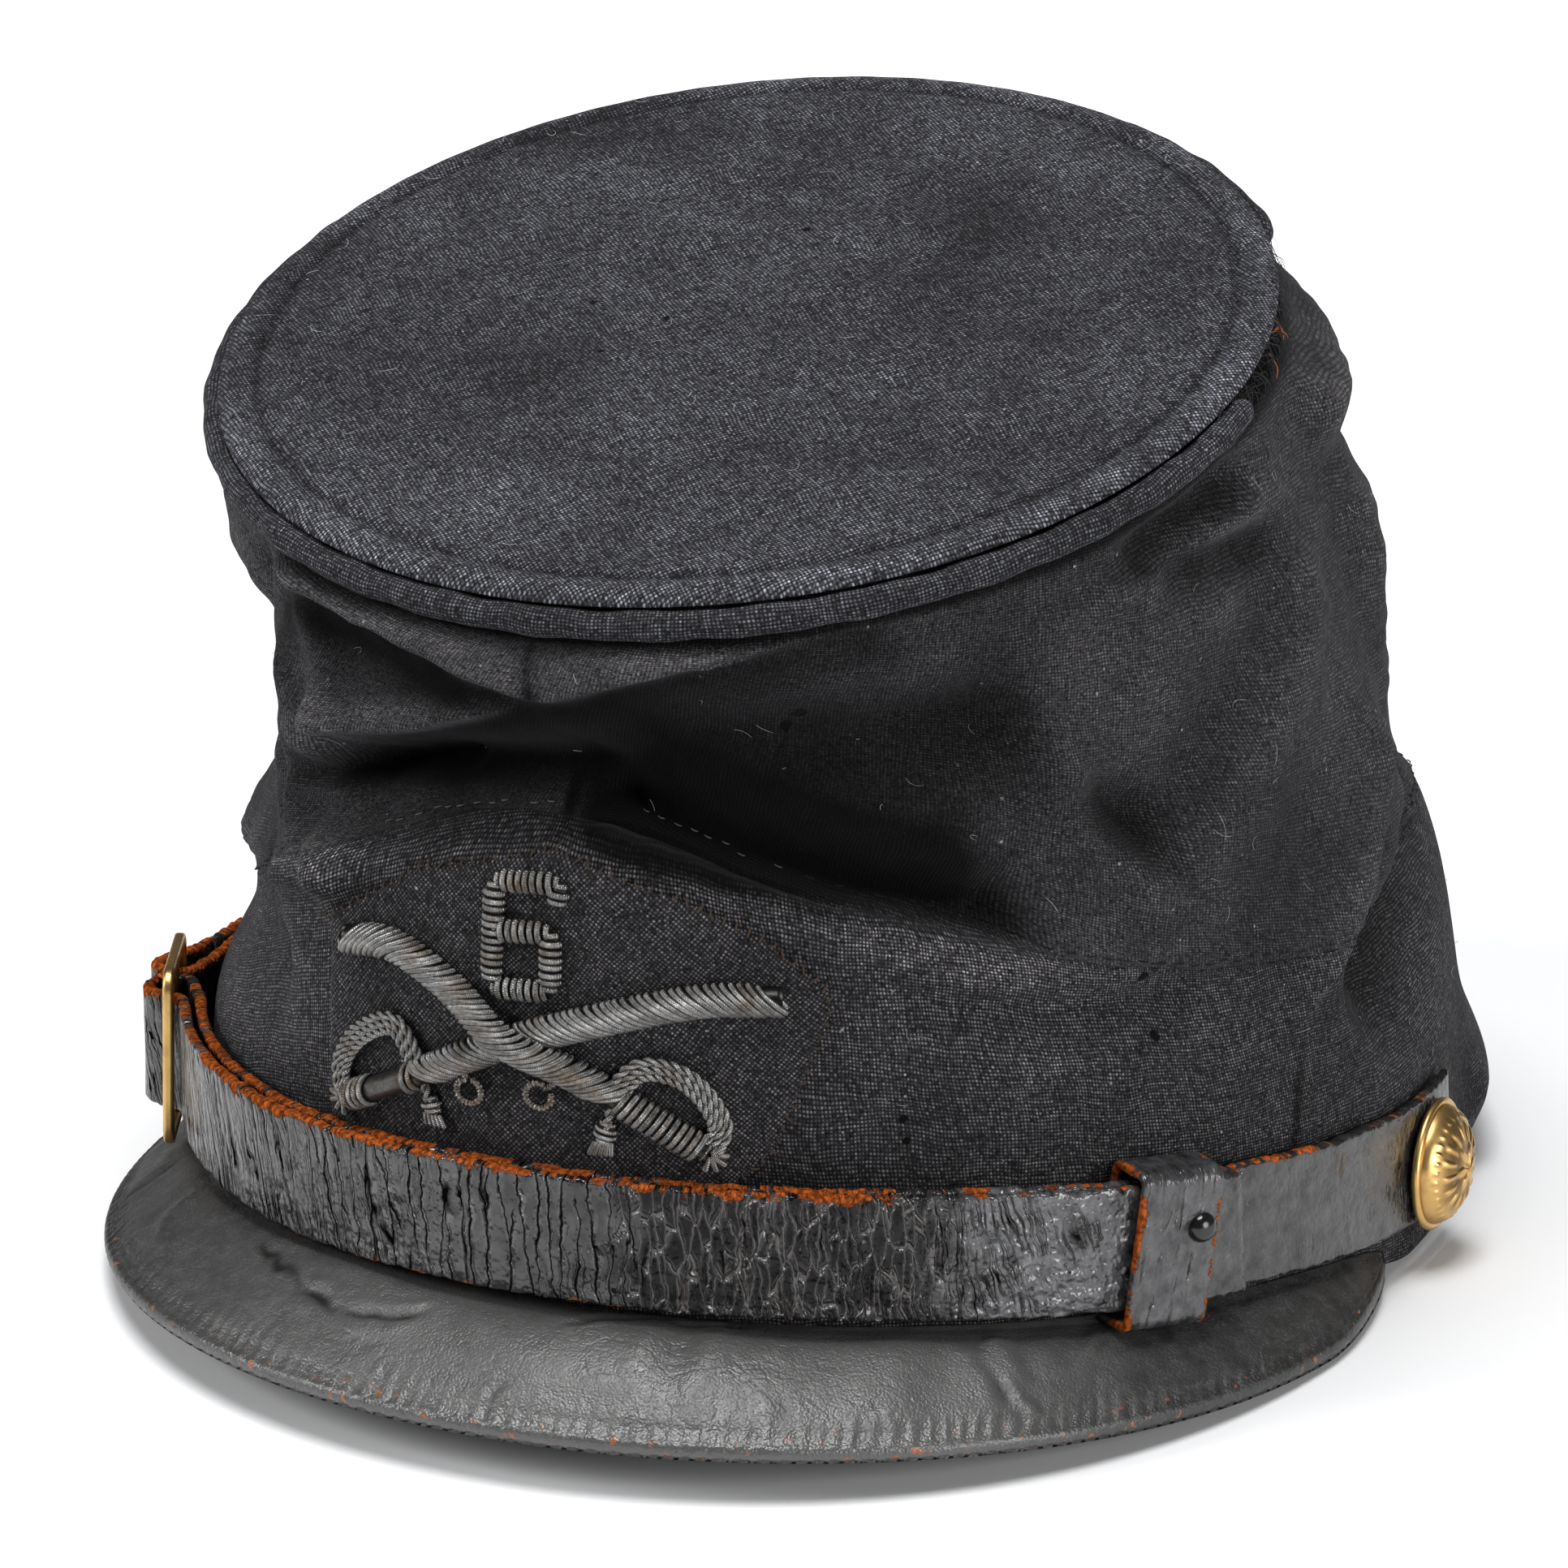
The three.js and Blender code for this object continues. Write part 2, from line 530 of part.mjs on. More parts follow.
function makeStud() {
  const profile = [
    new THREE.Vector2(0, 0),
    new THREE.Vector2(stud.radius, 0),
    new THREE.Vector2(stud.radius * 0.8, stud.height * 0.6),
    new THREE.Vector2(0, stud.height),
  ];
  const geometry = new THREE.LatheGeometry(profile, 12).rotateX(Math.PI / 2);
  geometry.translate(stud.alongStrap, stud.upStrap, 0);
  const stand = keeper.stand + keeper.layers / 2 + keeper.slack + keeper.leather + gap;
  return againstStrap(geometry, keeper.angle, stand);
}

// A rectangular frame with a bar across its middle.
function makeBuckle() {
  const outline = roundedRectangle(THREE.Shape, buckle.length, buckle.height, buckle.corner);
  const window = { length: buckle.length - 2 * buckle.bar, height: buckle.height - 2 * buckle.bar };
  outline.holes.push(roundedRectangle(THREE.Path, window.length, window.height, 0.4));
  const extrusion = { depth: buckle.metal, bevelEnabled: false, curveSegments: 4 };
  const frame = new THREE.ExtrudeGeometry(outline, extrusion);
  frame.translate(0, 0, -buckle.metal / 2);
  const bar = new THREE.BoxGeometry(buckle.bar, buckle.height - buckle.bar, buckle.metal * 0.9);
  return againstStrap(joined([frame, bar]), buckle.angle, buckle.stand);
}

// A domed button: a flat back, a rolled lip and the dome.
function makeButton(side) {
  const r = button.radius;
  const profile = [new THREE.Vector2(0, 0), new THREE.Vector2(r, 0), new THREE.Vector2(r, button.lip)];
  const domeSteps = 4;
  for (let i = 1; i <= domeSteps; i += 1) {
    const turn = (Math.PI / 2) * (i / domeSteps);
    const across = i === domeSteps ? 0 : (r - 0.6) * Math.cos(turn);
    profile.push(new THREE.Vector2(across, button.lip + (button.dome - button.lip) * Math.sin(turn)));
  }
  const geometry = new THREE.LatheGeometry(profile, 20).rotateX(Math.PI / 2);
  const angle = side * button.angle;
  const stand = 1.4 + strap.leather / 2 + gap;
  return againstStrap(geometry, angle, stand, button.drop);
}

// The low or high edge of the patch at a place across the front.
function patchEdge(column, across) {
  let index = 0;
  while (index < patchEdges.length - 2 && patchEdges[index + 1].across < across) index += 1;
  const [start, end] = [patchEdges[index], patchEdges[index + 1]];
  const share = (across - start.across) / (end.across - start.across);
  return THREE.MathUtils.lerp(start[column], end[column], share);
}

function makePatch() {
  const [first, last] = [patchEdges[0].across, patchEdges.at(-1).across];
  const face = (u, v) => {
    const across = THREE.MathUtils.lerp(first, last, u);
    const height = THREE.MathUtils.lerp(patchEdge('low', across), patchEdge('high', across), v);
    const angle = (across + patch.shift) / acrossPerDegree;
    return onBand(angle, height + patch.lift, patch.stand + patch.cloth);
  };
  return sheetSolid({ face, columns: 18, rows: 6, thickness: patch.cloth });
}

// Blade, grip, guard and knot of one sabre, padded embroidery in one piece.
function makeSabre(sabre) {
  const cloth = patch.stand + patch.cloth + 1.5 * gap;
  const crossing = new THREE.Vector2(-1.4, 50.8);
  const reach = 6;
  const lifted = (place) => {
    const away = crossing.distanceTo(new THREE.Vector2(place.x, place.y));
    return cloth + sabre.lift * Math.exp(-((away / reach) ** 2));
  };
  const flat = () => cloth;
  const height = bullion.padding;
  const low = bullion.guardHeight;
  return joined([
    paddedRod({ places: sabre.blade, steps: 12, width: bullion.bladeWidth, height, stand: lifted }),
    paddedRod({ places: sabre.grip, steps: 4, width: bullion.gripWidth, height, stand: flat }),
    paddedRod({ places: sabre.guard, steps: 10, width: bullion.guardWidth, height: low, stand: flat }),
    paddedRod({ places: sabre.knot, steps: 3, width: bullion.guardWidth, height: low, stand: flat }),
  ]);
}

function makeNumeral() {
  const stand = () => patch.stand + patch.cloth + gap;
  const bar = ({ from, to }) => paddedRod({
    places: [from, to],
    steps: 2,
    width: bullion.numeralWidth,
    height: bullion.guardHeight,
    stand,
  });
  return joined(numeralBars.map(bar));
}

addPiece('band', makeBand(), 'wool');
addPiece('crown', makeCrown(), 'wool');
addPiece('tip', makeTip(), 'wool');
addPiece('welt', makeWelt(), 'wool');
addPiece('visor', makeVisor(), 'visorLeather');
addPiece('strap_long', makeStrap(longRun, 4), 'strapLeather');
addPiece('strap_short', makeStrap(shortRun, 4), 'strapLeather');
addPiece('keeper', makeKeeper(), 'strapLeather');
addPiece('keeper_stud', makeStud(), 'darkMetal');
addPiece('buckle', makeBuckle(), 'brass');
addPiece('button_left', makeButton(1), 'brass');
addPiece('button_right', makeButton(-1), 'brass');
addPiece('patch', makePatch(), 'patchCloth');
addPiece('sabre_over', makeSabre(sabreOver), 'bullion');
addPiece('sabre_under', makeSabre(sabreUnder), 'bullion');
addPiece('numeral', makeNumeral(), 'bullion');

export default cap;
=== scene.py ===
import math
import bpy
import numpy as np
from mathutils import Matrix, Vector


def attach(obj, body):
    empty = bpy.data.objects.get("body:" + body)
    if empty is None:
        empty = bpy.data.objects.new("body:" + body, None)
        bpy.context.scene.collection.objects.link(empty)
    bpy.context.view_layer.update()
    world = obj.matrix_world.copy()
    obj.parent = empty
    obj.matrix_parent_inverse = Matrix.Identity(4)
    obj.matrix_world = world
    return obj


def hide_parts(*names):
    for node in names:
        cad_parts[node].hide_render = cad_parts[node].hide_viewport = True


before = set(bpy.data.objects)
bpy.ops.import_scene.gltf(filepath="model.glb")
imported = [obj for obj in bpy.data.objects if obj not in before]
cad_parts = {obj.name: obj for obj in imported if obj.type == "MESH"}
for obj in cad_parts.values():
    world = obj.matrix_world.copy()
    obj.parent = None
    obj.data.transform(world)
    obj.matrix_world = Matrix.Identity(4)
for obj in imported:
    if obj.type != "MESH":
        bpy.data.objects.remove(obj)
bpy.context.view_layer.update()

mm = 0.001
print("frame loaded:", len(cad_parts), "nodes")

# forms shared by the pieces; millimetres and degrees, front of the cap at -Y, angle 0 at the front

rim = dict(halfWidth=83, front=-87, back=109)
seam = dict(halfWidth=79.5, front=-88, back=100)
tip = dict(radius=69.2, centreY=-22.6, centreZ=128.6, tilt=15.45, dome=1.2, edgeDrop=1.5, roll=1.3, wall=2)
welt = dict(cord=3.8, ring=69.6, tornFrom=90, tornTo=126)
wall = dict(band=2.4, crown=1.8, barrel=1.5)
gap = 0.3
perDegree = 1.42  # millimetres round the head in a degree

# angle, lower edge of the band, seam above it, lower edge of the strap
stations = np.array([
    (-180, 0, 50, 9), (-120, 0, 48, 9), (-90, 0.5, 46, 10.5), (-78, 4.5, 46.5, 12),
    (-60, 8.5, 48, 14.2), (-30, 13, 66, 17), (0, 14.2, 79.5, 18.8), (30, 12.2, 69.5, 17.2),
    (60, 8, 55.5, 12.2), (78, 4.5, 51, 8.2), (90, 0, 50, 6.1), (120, 0, 50, 6),
], float)
stationColumns = dict(rise=1, seam=2, strapLow=3)

# name, angle and height of both ends, bow of the stroke,
# reach above it, reach below it, depth (out is positive)
folds = [
    ("lip, wearer right", -31, 105.2, 0.5, 98.1, 0.8, 6, 1.3, 4),
    ("lip, wearer left", 7.5, 98.4, 38, 108.6, 0.8, 6, 1.1, 4),
    ("hollow under the lip", 13, 91, 46, 93, 0, 6, 10, -6),
    ("second flap", -21, 87.5, -6, 93.2, -1, 5, 1.3, 5),
    ("worn ridge, right", -28, 101, -22, 85, 1, 3.5, 3.5, 2.2),
    ("recess, right", -22, 80.5, 4, 86.5, 0.8, 4, 3.4, -9),
    ("crease, left", 9, 79.5, 43, 64.5, 0.6, 9, 1.1, -10),
    ("front corner ridge", -31, 92, -23, 68, -1.5, 5, 3, 2.6),
    ("right pleat", -41, 100, -36, 66, 0, 4, 5, -4.5),
    ("right waist", -112, 86, -47, 84, 0, 10, 14, -13),
    ("right bulge", -85, 58, -42, 67, 0, 5, 5, 1),
    ("right overlap", -72, 53, -22, 65.5, -1.5, 6, 1.6, 2),
    ("right pinch", -100, 44, -34, 50, -2, 7, 9, -4),
    ("left dimple", 58, 78, 61, 74.5, 0, 4.5, 4.5, -4.2),
    ("ridge by the dimple", 54.5, 84, 60, 68, 0, 2.6, 6, 1.8),
    ("left diagonal valley", 63, 78.5, 86, 95, 0, 8, 5, -2.6),
    ("left diagonal ridge", 66, 70, 92, 98, -1, 5, 7, 2.4),
    ("hollow under the welt", 70, 111, 84, 116, 0, 4, 3.4, -4.4),
    ("lower hollow by the welt", 75, 107, 88, 105.5, 0, 3.4, 4, -3.6),
    ("ridge under the welt", 66, 107, 84, 111.5, 0, 2.5, 2.5, 1.5),
    ("left rear crease", 79, 49, 98, 71, -1, 8, 1.8, 3),
    ("left rear hollow", 87, 44, 116, 62, -1, 3.5, 10, -6),
    ("left rear bulge", 112, 98, 150, 95, 0, 14, 15, 4.5),
    ("left rear pinch", 112, 62, 175, 60, 0, 8, 8, -6),
    ("left shoulder", 108, 119, 140, 126, 0, 6, 6, 6),
    ("groove under the seam", 37, 56.5, 58, 52.5, -1, 2.6, 5, -2.2),
    ("roll of the band top", -26, 73.5, 6, 80.5, 1, 5, 3.6, -6),
    ("rear valley", 165, 112, 230, 96, 3, 9, 9, -6),
    ("rear ridge", 170, 84, 236, 76, 0, 9, 9, 4),
    ("rear pinch", 180, 59, 255, 55, 0, 8, 8, -6),
    ("left rear swell", 113, 10, 128, 10, 0, 9, 9, 3.8),
    ("right draw", -100, 64, -42, 62, 0, 10, 10, -6),
    ("slit, right", -28, 77.5, -14, 82, 0, 3, 1.4, -5),
]
foldFade = dict(ends=6, top=0.08)  # how a fold runs out at its ends, and under the welt

# painted shade: the deep places under the lips and in the recesses and creases,
# darkened as strokes of the same kind; the last value is how dark the painted shade is
paintedShadeStrokes = [
    ("edge of the right lip", -29, 103, 3, 95.9, 0.8, 0.9, 4.5, 0.75),
    ("edge of the left lip", 5, 96.2, 36, 106.6, 0.8, 0.9, 6, 0.6),
    ("edge of the second flap", -20, 86.3, 3, 95.2, -1, 0.9, 4, 0.55),
    ("under the left lip", 9, 91, 50, 93, 0, 9, 12, 0.64),
    ("slope to the crease", 10, 82, 40, 76, 0, 9, 9, 0.55),
    ("crease at the seam", 7, 79, 41, 68.2, 0, 8.5, 2.4, 1),
    ("slit, right", -26, 77.5, -12, 82.5, 0, 2.6, 2, 0.9),
    ("under the right lip", -24, 99.5, -7, 96, 0.5, 2.5, 3.5, 0.5),
    ("front seam, upper", 1.5, 112, 2.5, 98, 0, 0.8, 0.8, 0.8),
    ("front seam, lower", 3, 94, 3, 80, 0, 0.8, 0.8, 0.6),
    ("slit by the button", 72, 29.5, 72.6, 33.5, 0, 0.8, 0.8, 0.9),
    ("recess, right", -12, 84, 4, 88, 0, 5, 6, 1),
    ("pleat, right", -31, 97, -33, 70, 0, 3, 3, 0.5),
    ("overlap, right", -42, 60.5, -20, 66, 0, 1, 3, 0.5),
    ("hollow by the welt", 76, 113.5, 85, 113, 0, 2.5, 2.5, 0.5),
    ("second hollow", 78, 106.5, 88, 106, 0, 2.5, 2.5, 0.45),
    ("dimple, left", 57, 77, 60, 72.5, 0, 4, 4, 0.6),
    ("rear hollow, left", 88, 46, 112, 62, 0, 4, 8, 0.4),
]


# value of a column at any angle: cubic pieces whose slopes come from the neighbouring stations
def stationValue(column, angle):
    table = stations[:, [0, stationColumns[column]]]
    table = np.concatenate([table[-2:] - [360, 0], table, table[:2] + [360, 0]])
    turned = (np.asarray(angle, float) + 180) % 360 - 180
    i = np.searchsorted(table[:, 0], turned, side="right") - 1
    (x0, y0), (x1, y1), (x2, y2), (x3, y3) = (np.moveaxis(table[i + k], -1, 0) for k in (-1, 0, 1, 2))
    span = x2 - x1
    t = (turned - x1) / span
    slope1, slope2 = (y2 - y0) / (x2 - x0) * span, (y3 - y1) / (x3 - x1) * span
    return (y1 * (2 * t**3 - 3 * t**2 + 1) + slope1 * (t**3 - 2 * t**2 + t)
            + y2 * (3 * t**2 - 2 * t**3) + slope2 * (t**3 - t**2))


# 0 below low, 1 above high, an S curve between
def smooth(x, low, high):
    t = np.clip((x - low) / (high - low), 0, 1)
    return t * t * (3 - 2 * t)


# point of an oval section: half width times sine, middle minus half length times cosine
def ovalPoint(section, angle, height):
    a = np.radians(angle)
    middle, half = (section["front"] + section["back"]) / 2, (section["back"] - section["front"]) / 2
    return np.stack([section["halfWidth"] * np.sin(a), middle - half * np.cos(a), height + 0 * a], -1)


# level outward direction of the head's oval
def outward(angle):
    a = np.radians(angle)
    n = np.stack([(rim["back"] - rim["front"]) / 2 * np.sin(a), -rim["halfWidth"] * np.cos(a), 0 * a], -1)
    return n / np.linalg.norm(n, axis=-1, keepdims=True)


# sum of strokes: each is its amount times a bell across a bowed line, with its own reach on each side
def strokes(rows, angle, height, ends):
    depth = np.zeros(np.broadcast(angle, height).shape)
    for name, angle0, height0, angle1, height1, bow, above, below, amount in rows:
        along = np.array([(angle1 - angle0) * perDegree, height1 - height0])
        length = np.hypot(*along)
        along = along / length
        turn = 360 * np.round(((angle0 + angle1) / 2 - angle) / 360)
        px, py = (angle + turn - angle0) * perDegree, height - height0
        run = px * along[0] + py * along[1]
        share = np.clip(run / length, 0, 1)
        side = py * along[0] - px * along[1] - 4 * bow * share * (1 - share)
        reach = np.where(side > 0, above, below)
        past = (run - share * length) / ends
        depth = depth + amount * np.exp(-(side / reach) ** 2 - past**2)
    return depth


# depth of the folds alone: the strokes of the fold table
def foldDepth(angle, height):
    return strokes(folds, angle, height, foldFade["ends"])


# small slackness of old cloth: a few crossing sine waves of unequal length
def crumple(angle, height, amount=0.25):
    x, y = np.radians(angle), height
    return amount * (np.sin(23 * x + 0.31 * y) * np.sin(0.37 * y - 9 * x) + 0.6
                     * np.sin(41 * x - 0.45 * y + 1.3)
                     * np.sin(0.52 * y + 17 * x) + 0.35 * np.sin(67 * x + 0.9 * y))


# the tip's plane: a circle turned about X by the tilt
def tipPoint(radius, angle, below):
    a, t = np.radians(angle), math.radians(tip["tilt"])
    x, y, z = radius * np.sin(a), -radius * np.cos(a), -below + 0 * a
    return np.stack([x, y * math.cos(t) - z * math.sin(t) + tip["centreY"],
                     y * math.sin(t) + z * math.cos(t) + tip["centreZ"]], -1)


# band: straight from rim to seam, plus a slight barrel and the folds, pushed outward
def bandPoint(angle, share):
    low = ovalPoint(rim, angle, np.maximum(0, stationValue("rise", angle)))
    high = ovalPoint(seam, angle, stationValue("seam", angle))
    point = low + (high - low) * np.asarray(share)[..., None]
    slack = foldDepth(angle, point[..., 2]) * smooth(share, -0.1, 0.25)
    depth = 4 * wall["barrel"] * share * (1 - share) + slack
    return point + outward(angle) * depth[..., None]


# crown: straight from the seam to under the welt, plus the folds
def crownPoint(angle, share):
    low = ovalPoint(seam, angle, stationValue("seam", angle))
    high = tipPoint(tip["radius"], angle, tip["edgeDrop"] + welt["cord"] + 2 * gap)
    point = low + (high - low) * np.asarray(share)[..., None]
    depth = foldDepth(angle, point[..., 2]) + crumple(angle, point[..., 2])
    depth = depth * (1 - smooth(share, 1 - foldFade["top"], 1))
    return point + outward(angle) * depth[..., None]


# a place on the band's face, standing off it
def onBand(angle, height, stand):
    low = stationValue("rise", angle)
    share = (height - low) / (stationValue("seam", angle) - low)
    return bandPoint(angle, share) + outward(angle) * np.asarray(stand)[..., None]


# x, y, z of a place on the cloth at an angle and a height, with a size after it
def placeOn(angle, height, size):
    high = stationValue("seam", angle)
    if height < high:
        return (*onBand(np.float64(angle), np.float64(height), 0.0), size)
    top = tipPoint(tip["radius"], np.float64(angle), tip["edgeDrop"] + welt["cord"] + 2 * gap)[2]
    return (*crownPoint(np.float64(angle), np.float64((height - high) / (top - high))), size)


# mesh tools

# smooth curve through points: centripetal Catmull-Rom, then spaced evenly by length
def spline(points, count):
    p = np.asarray(points, float)
    p = np.concatenate([[2 * p[0] - p[1]], p, [2 * p[-1] - p[-2]]])
    knots = np.r_[0, np.cumsum(np.linalg.norm(np.diff(p, axis=0), axis=1) ** 0.5)]
    t = np.linspace(knots[1], knots[-2], 12 * len(p) + count)
    i = np.clip(np.searchsorted(knots, t, side="right") - 1, 1, len(p) - 3)
    k0, k1, k2, k3 = (knots[i + k][:, None] for k in (-1, 0, 1, 2))
    p0, p1, p2, p3 = (p[i + k] for k in (-1, 0, 1, 2))
    t = t[:, None]
    a1 = p0 + (p1 - p0) * (t - k0) / (k1 - k0)
    a2 = p1 + (p2 - p1) * (t - k1) / (k2 - k1)
    a3 = p2 + (p3 - p2) * (t - k2) / (k3 - k2)
    b1 = a1 + (a2 - a1) * (t - k0) / (k2 - k0)
    b2 = a2 + (a3 - a2) * (t - k1) / (k3 - k1)
    return evenly(b1 + (b2 - b1) * (t - k1) / (k2 - k1), count)


# the same line with its points at equal lengths
def evenly(line, count):
    length = np.r_[0, np.cumsum(np.linalg.norm(np.diff(line, axis=0), axis=1))]
    at = np.linspace(0, length[-1], count)
    return np.stack([np.interp(at, length, line[:, k]) for k in range(line.shape[1])], -1)


# smooth noise along a line: random knots joined by an S curve
def lineNoise(x, step, seed):
    knots = np.random.default_rng(seed).uniform(-1, 1, 4096)
    i = np.floor(x / step).astype(int) % 4000
    t = smooth(x / step - np.floor(x / step), 0, 1)
    return knots[i] * (1 - t) + knots[i + 1] * t


# each vector over its own length
def unit(v):
    return v / np.maximum(np.linalg.norm(v, axis=-1, keepdims=True), 1e-12)


# sections carried along a path: centre plus side times w plus up times h
def sweep(centre, side, up, w, h):
    across = side[:, None] * np.asarray(w)[..., None]
    above = up[:, None] * np.asarray(h)[..., None]
    return centre[:, None] + across + above


# a grid of points as quads; closed ways wrap round, caps close the ends of a tube
def gridPart(points, closeU=False, closeV=False, uv=None, caps=False, **values):
    nu, nv = points.shape[:2]
    a, b = (g.ravel() for g in np.meshgrid(np.arange(nu - (not closeU)), np.arange(nv - (not closeV)),
                                           indexing="ij"))
    c, d = (a + 1) % nu, (b + 1) % nv
    quads = np.stack([a * nv + b, c * nv + b, c * nv + d, a * nv + d], -1)
    if uv is None:
        uv = np.zeros((nu + 1, nv + 1, 2))
    corners = np.stack([uv[a, b], uv[a + 1, b], uv[a + 1, b + 1], uv[a, b + 1]], 1)
    part = dict(points=points.reshape(-1, 3), loops=[quads.ravel()], sizes=[np.full(len(quads), 4)],
                uvs=[corners.reshape(-1, 2)], values={k: np.asarray(v, float).ravel() for k,
                                                      v in values.items()})
    if caps:
        for ring in (np.arange(nv)[::-1], (nu - 1) * nv + np.arange(nv)):
            part["loops"].append(ring)
            part["sizes"].append(np.array([nv]))
            part["uvs"].append(np.zeros((nv, 2)))
    return part


# parts joined in one mesh object that rides with the cap and wears a material
def makePiece(name, parts, material, nodes=()):
    loops, sizes, uvs, start = [], [], [], 0
    for part in parts:
        loops += [ring + start for ring in part["loops"]]
        sizes += part["sizes"]
        uvs += part["uvs"]
        start += len(part["points"])
    points = np.concatenate([part["points"] for part in parts]) * mm
    loops, sizes, uvs = np.concatenate(loops), np.concatenate(sizes), np.concatenate(uvs)
    mesh = bpy.data.meshes.new(name)
    mesh.vertices.add(len(points))
    mesh.vertices.foreach_set("co", points.ravel())
    mesh.loops.add(len(loops))
    mesh.loops.foreach_set("vertex_index", loops)
    mesh.polygons.add(len(sizes))
    mesh.polygons.foreach_set("loop_start", np.r_[0, np.cumsum(sizes)[:-1]])
    mesh.polygons.foreach_set("use_smooth", np.ones(len(sizes), bool))
    mesh.update(calc_edges=True)
    mesh.uv_layers.new(name="UVMap").data.foreach_set("uv", uvs.astype(np.float32).ravel())
    for key in parts[0]["values"]:
        mesh.attributes.new(key, "FLOAT", "POINT").data.foreach_set(
            "value", np.concatenate([part["values"][key] for part in parts]).astype(np.float32))
    mesh.validate()
    piece = bpy.data.objects.new(name, mesh)
    bpy.context.scene.collection.objects.link(piece)
    mesh.materials.append(material)
    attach(piece, "root")
    if nodes:
        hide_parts(*nodes)
    print("made", name, len(sizes), "faces")
    return piece


# cloth thickness, grown inward from the face
def thicken(piece, thickness):
    shell = piece.modifiers.new("wall", "SOLIDIFY")
    shell.thickness = thickness * mm
    shell.offset = -1


# material tools

class Finish:
    # a principled material and a short way to add nodes to it
    def __init__(self, name):
        self.material = bpy.data.materials.new(name)
        self.material.use_nodes = True
        self.tree = self.material.node_tree
        self.surface = self.tree.nodes["Principled BSDF"]

    def put(self, socket, value):
        if isinstance(value, bpy.types.NodeSocket):
            self.tree.links.new(value, socket)
        elif isinstance(value, tuple) and len(value) == 3 and len(socket.default_value) == 4:
            socket.default_value = (*value, 1)
        else:
            socket.default_value = value

    def add(self, kind, inputs, output=0, **settings):
        node = self.tree.nodes.new("ShaderNode" + kind)
        for key, value in settings.items():
            setattr(node, key, value)
        for key, value in inputs.items():
            self.put(node.inputs[key], value)
        return node.outputs[output]

    def calc(self, operation, a, b=0.0, c=0.0):
        return self.add("Math", {0: a, 1: b, 2: c}, operation=operation)

    def mix(self, share, a, b, blend="MIX"):
        return self.add("Mix", {0: share, 6: a, 7: b}, output=2, data_type="RGBA", blend_type=blend)

    def ramp(self, value, low, high, to0=0.0, to1=1.0):
        return self.add("MapRange", {0: value, 1: low, 2: high, 3: to0, 4: to1})

    def noise(self, vector, scale, detail=3.0, rough=0.55):
        return self.add("TexNoise", {"Vector": vector, "Scale": scale, "Detail": detail,
                                     "Roughness": rough})

    def places(self):
        return self.add("TexCoord", {}, output=3)

    def uv(self):
        return self.add("UVMap", {}, uv_map="UVMap")

    def value(self, name):
        return self.add("Attribute", {}, output=2, attribute_name=name)

    def finish(self, **sockets):
        for key, value in sockets.items():
            self.put(self.surface.inputs[key.replace("_", " ")], value)
        return self.material


woolLook = dict(dark=(0.0050, 0.0047, 0.0052), pale=(0.112, 0.107, 0.114), pitch=0.49, turn=0.16,
                relief=0.12,
                lint=0.66, fadeSize=34, fadeLow=0.5, fadeHigh=1.7, ragged=900, fuzz=0.1)
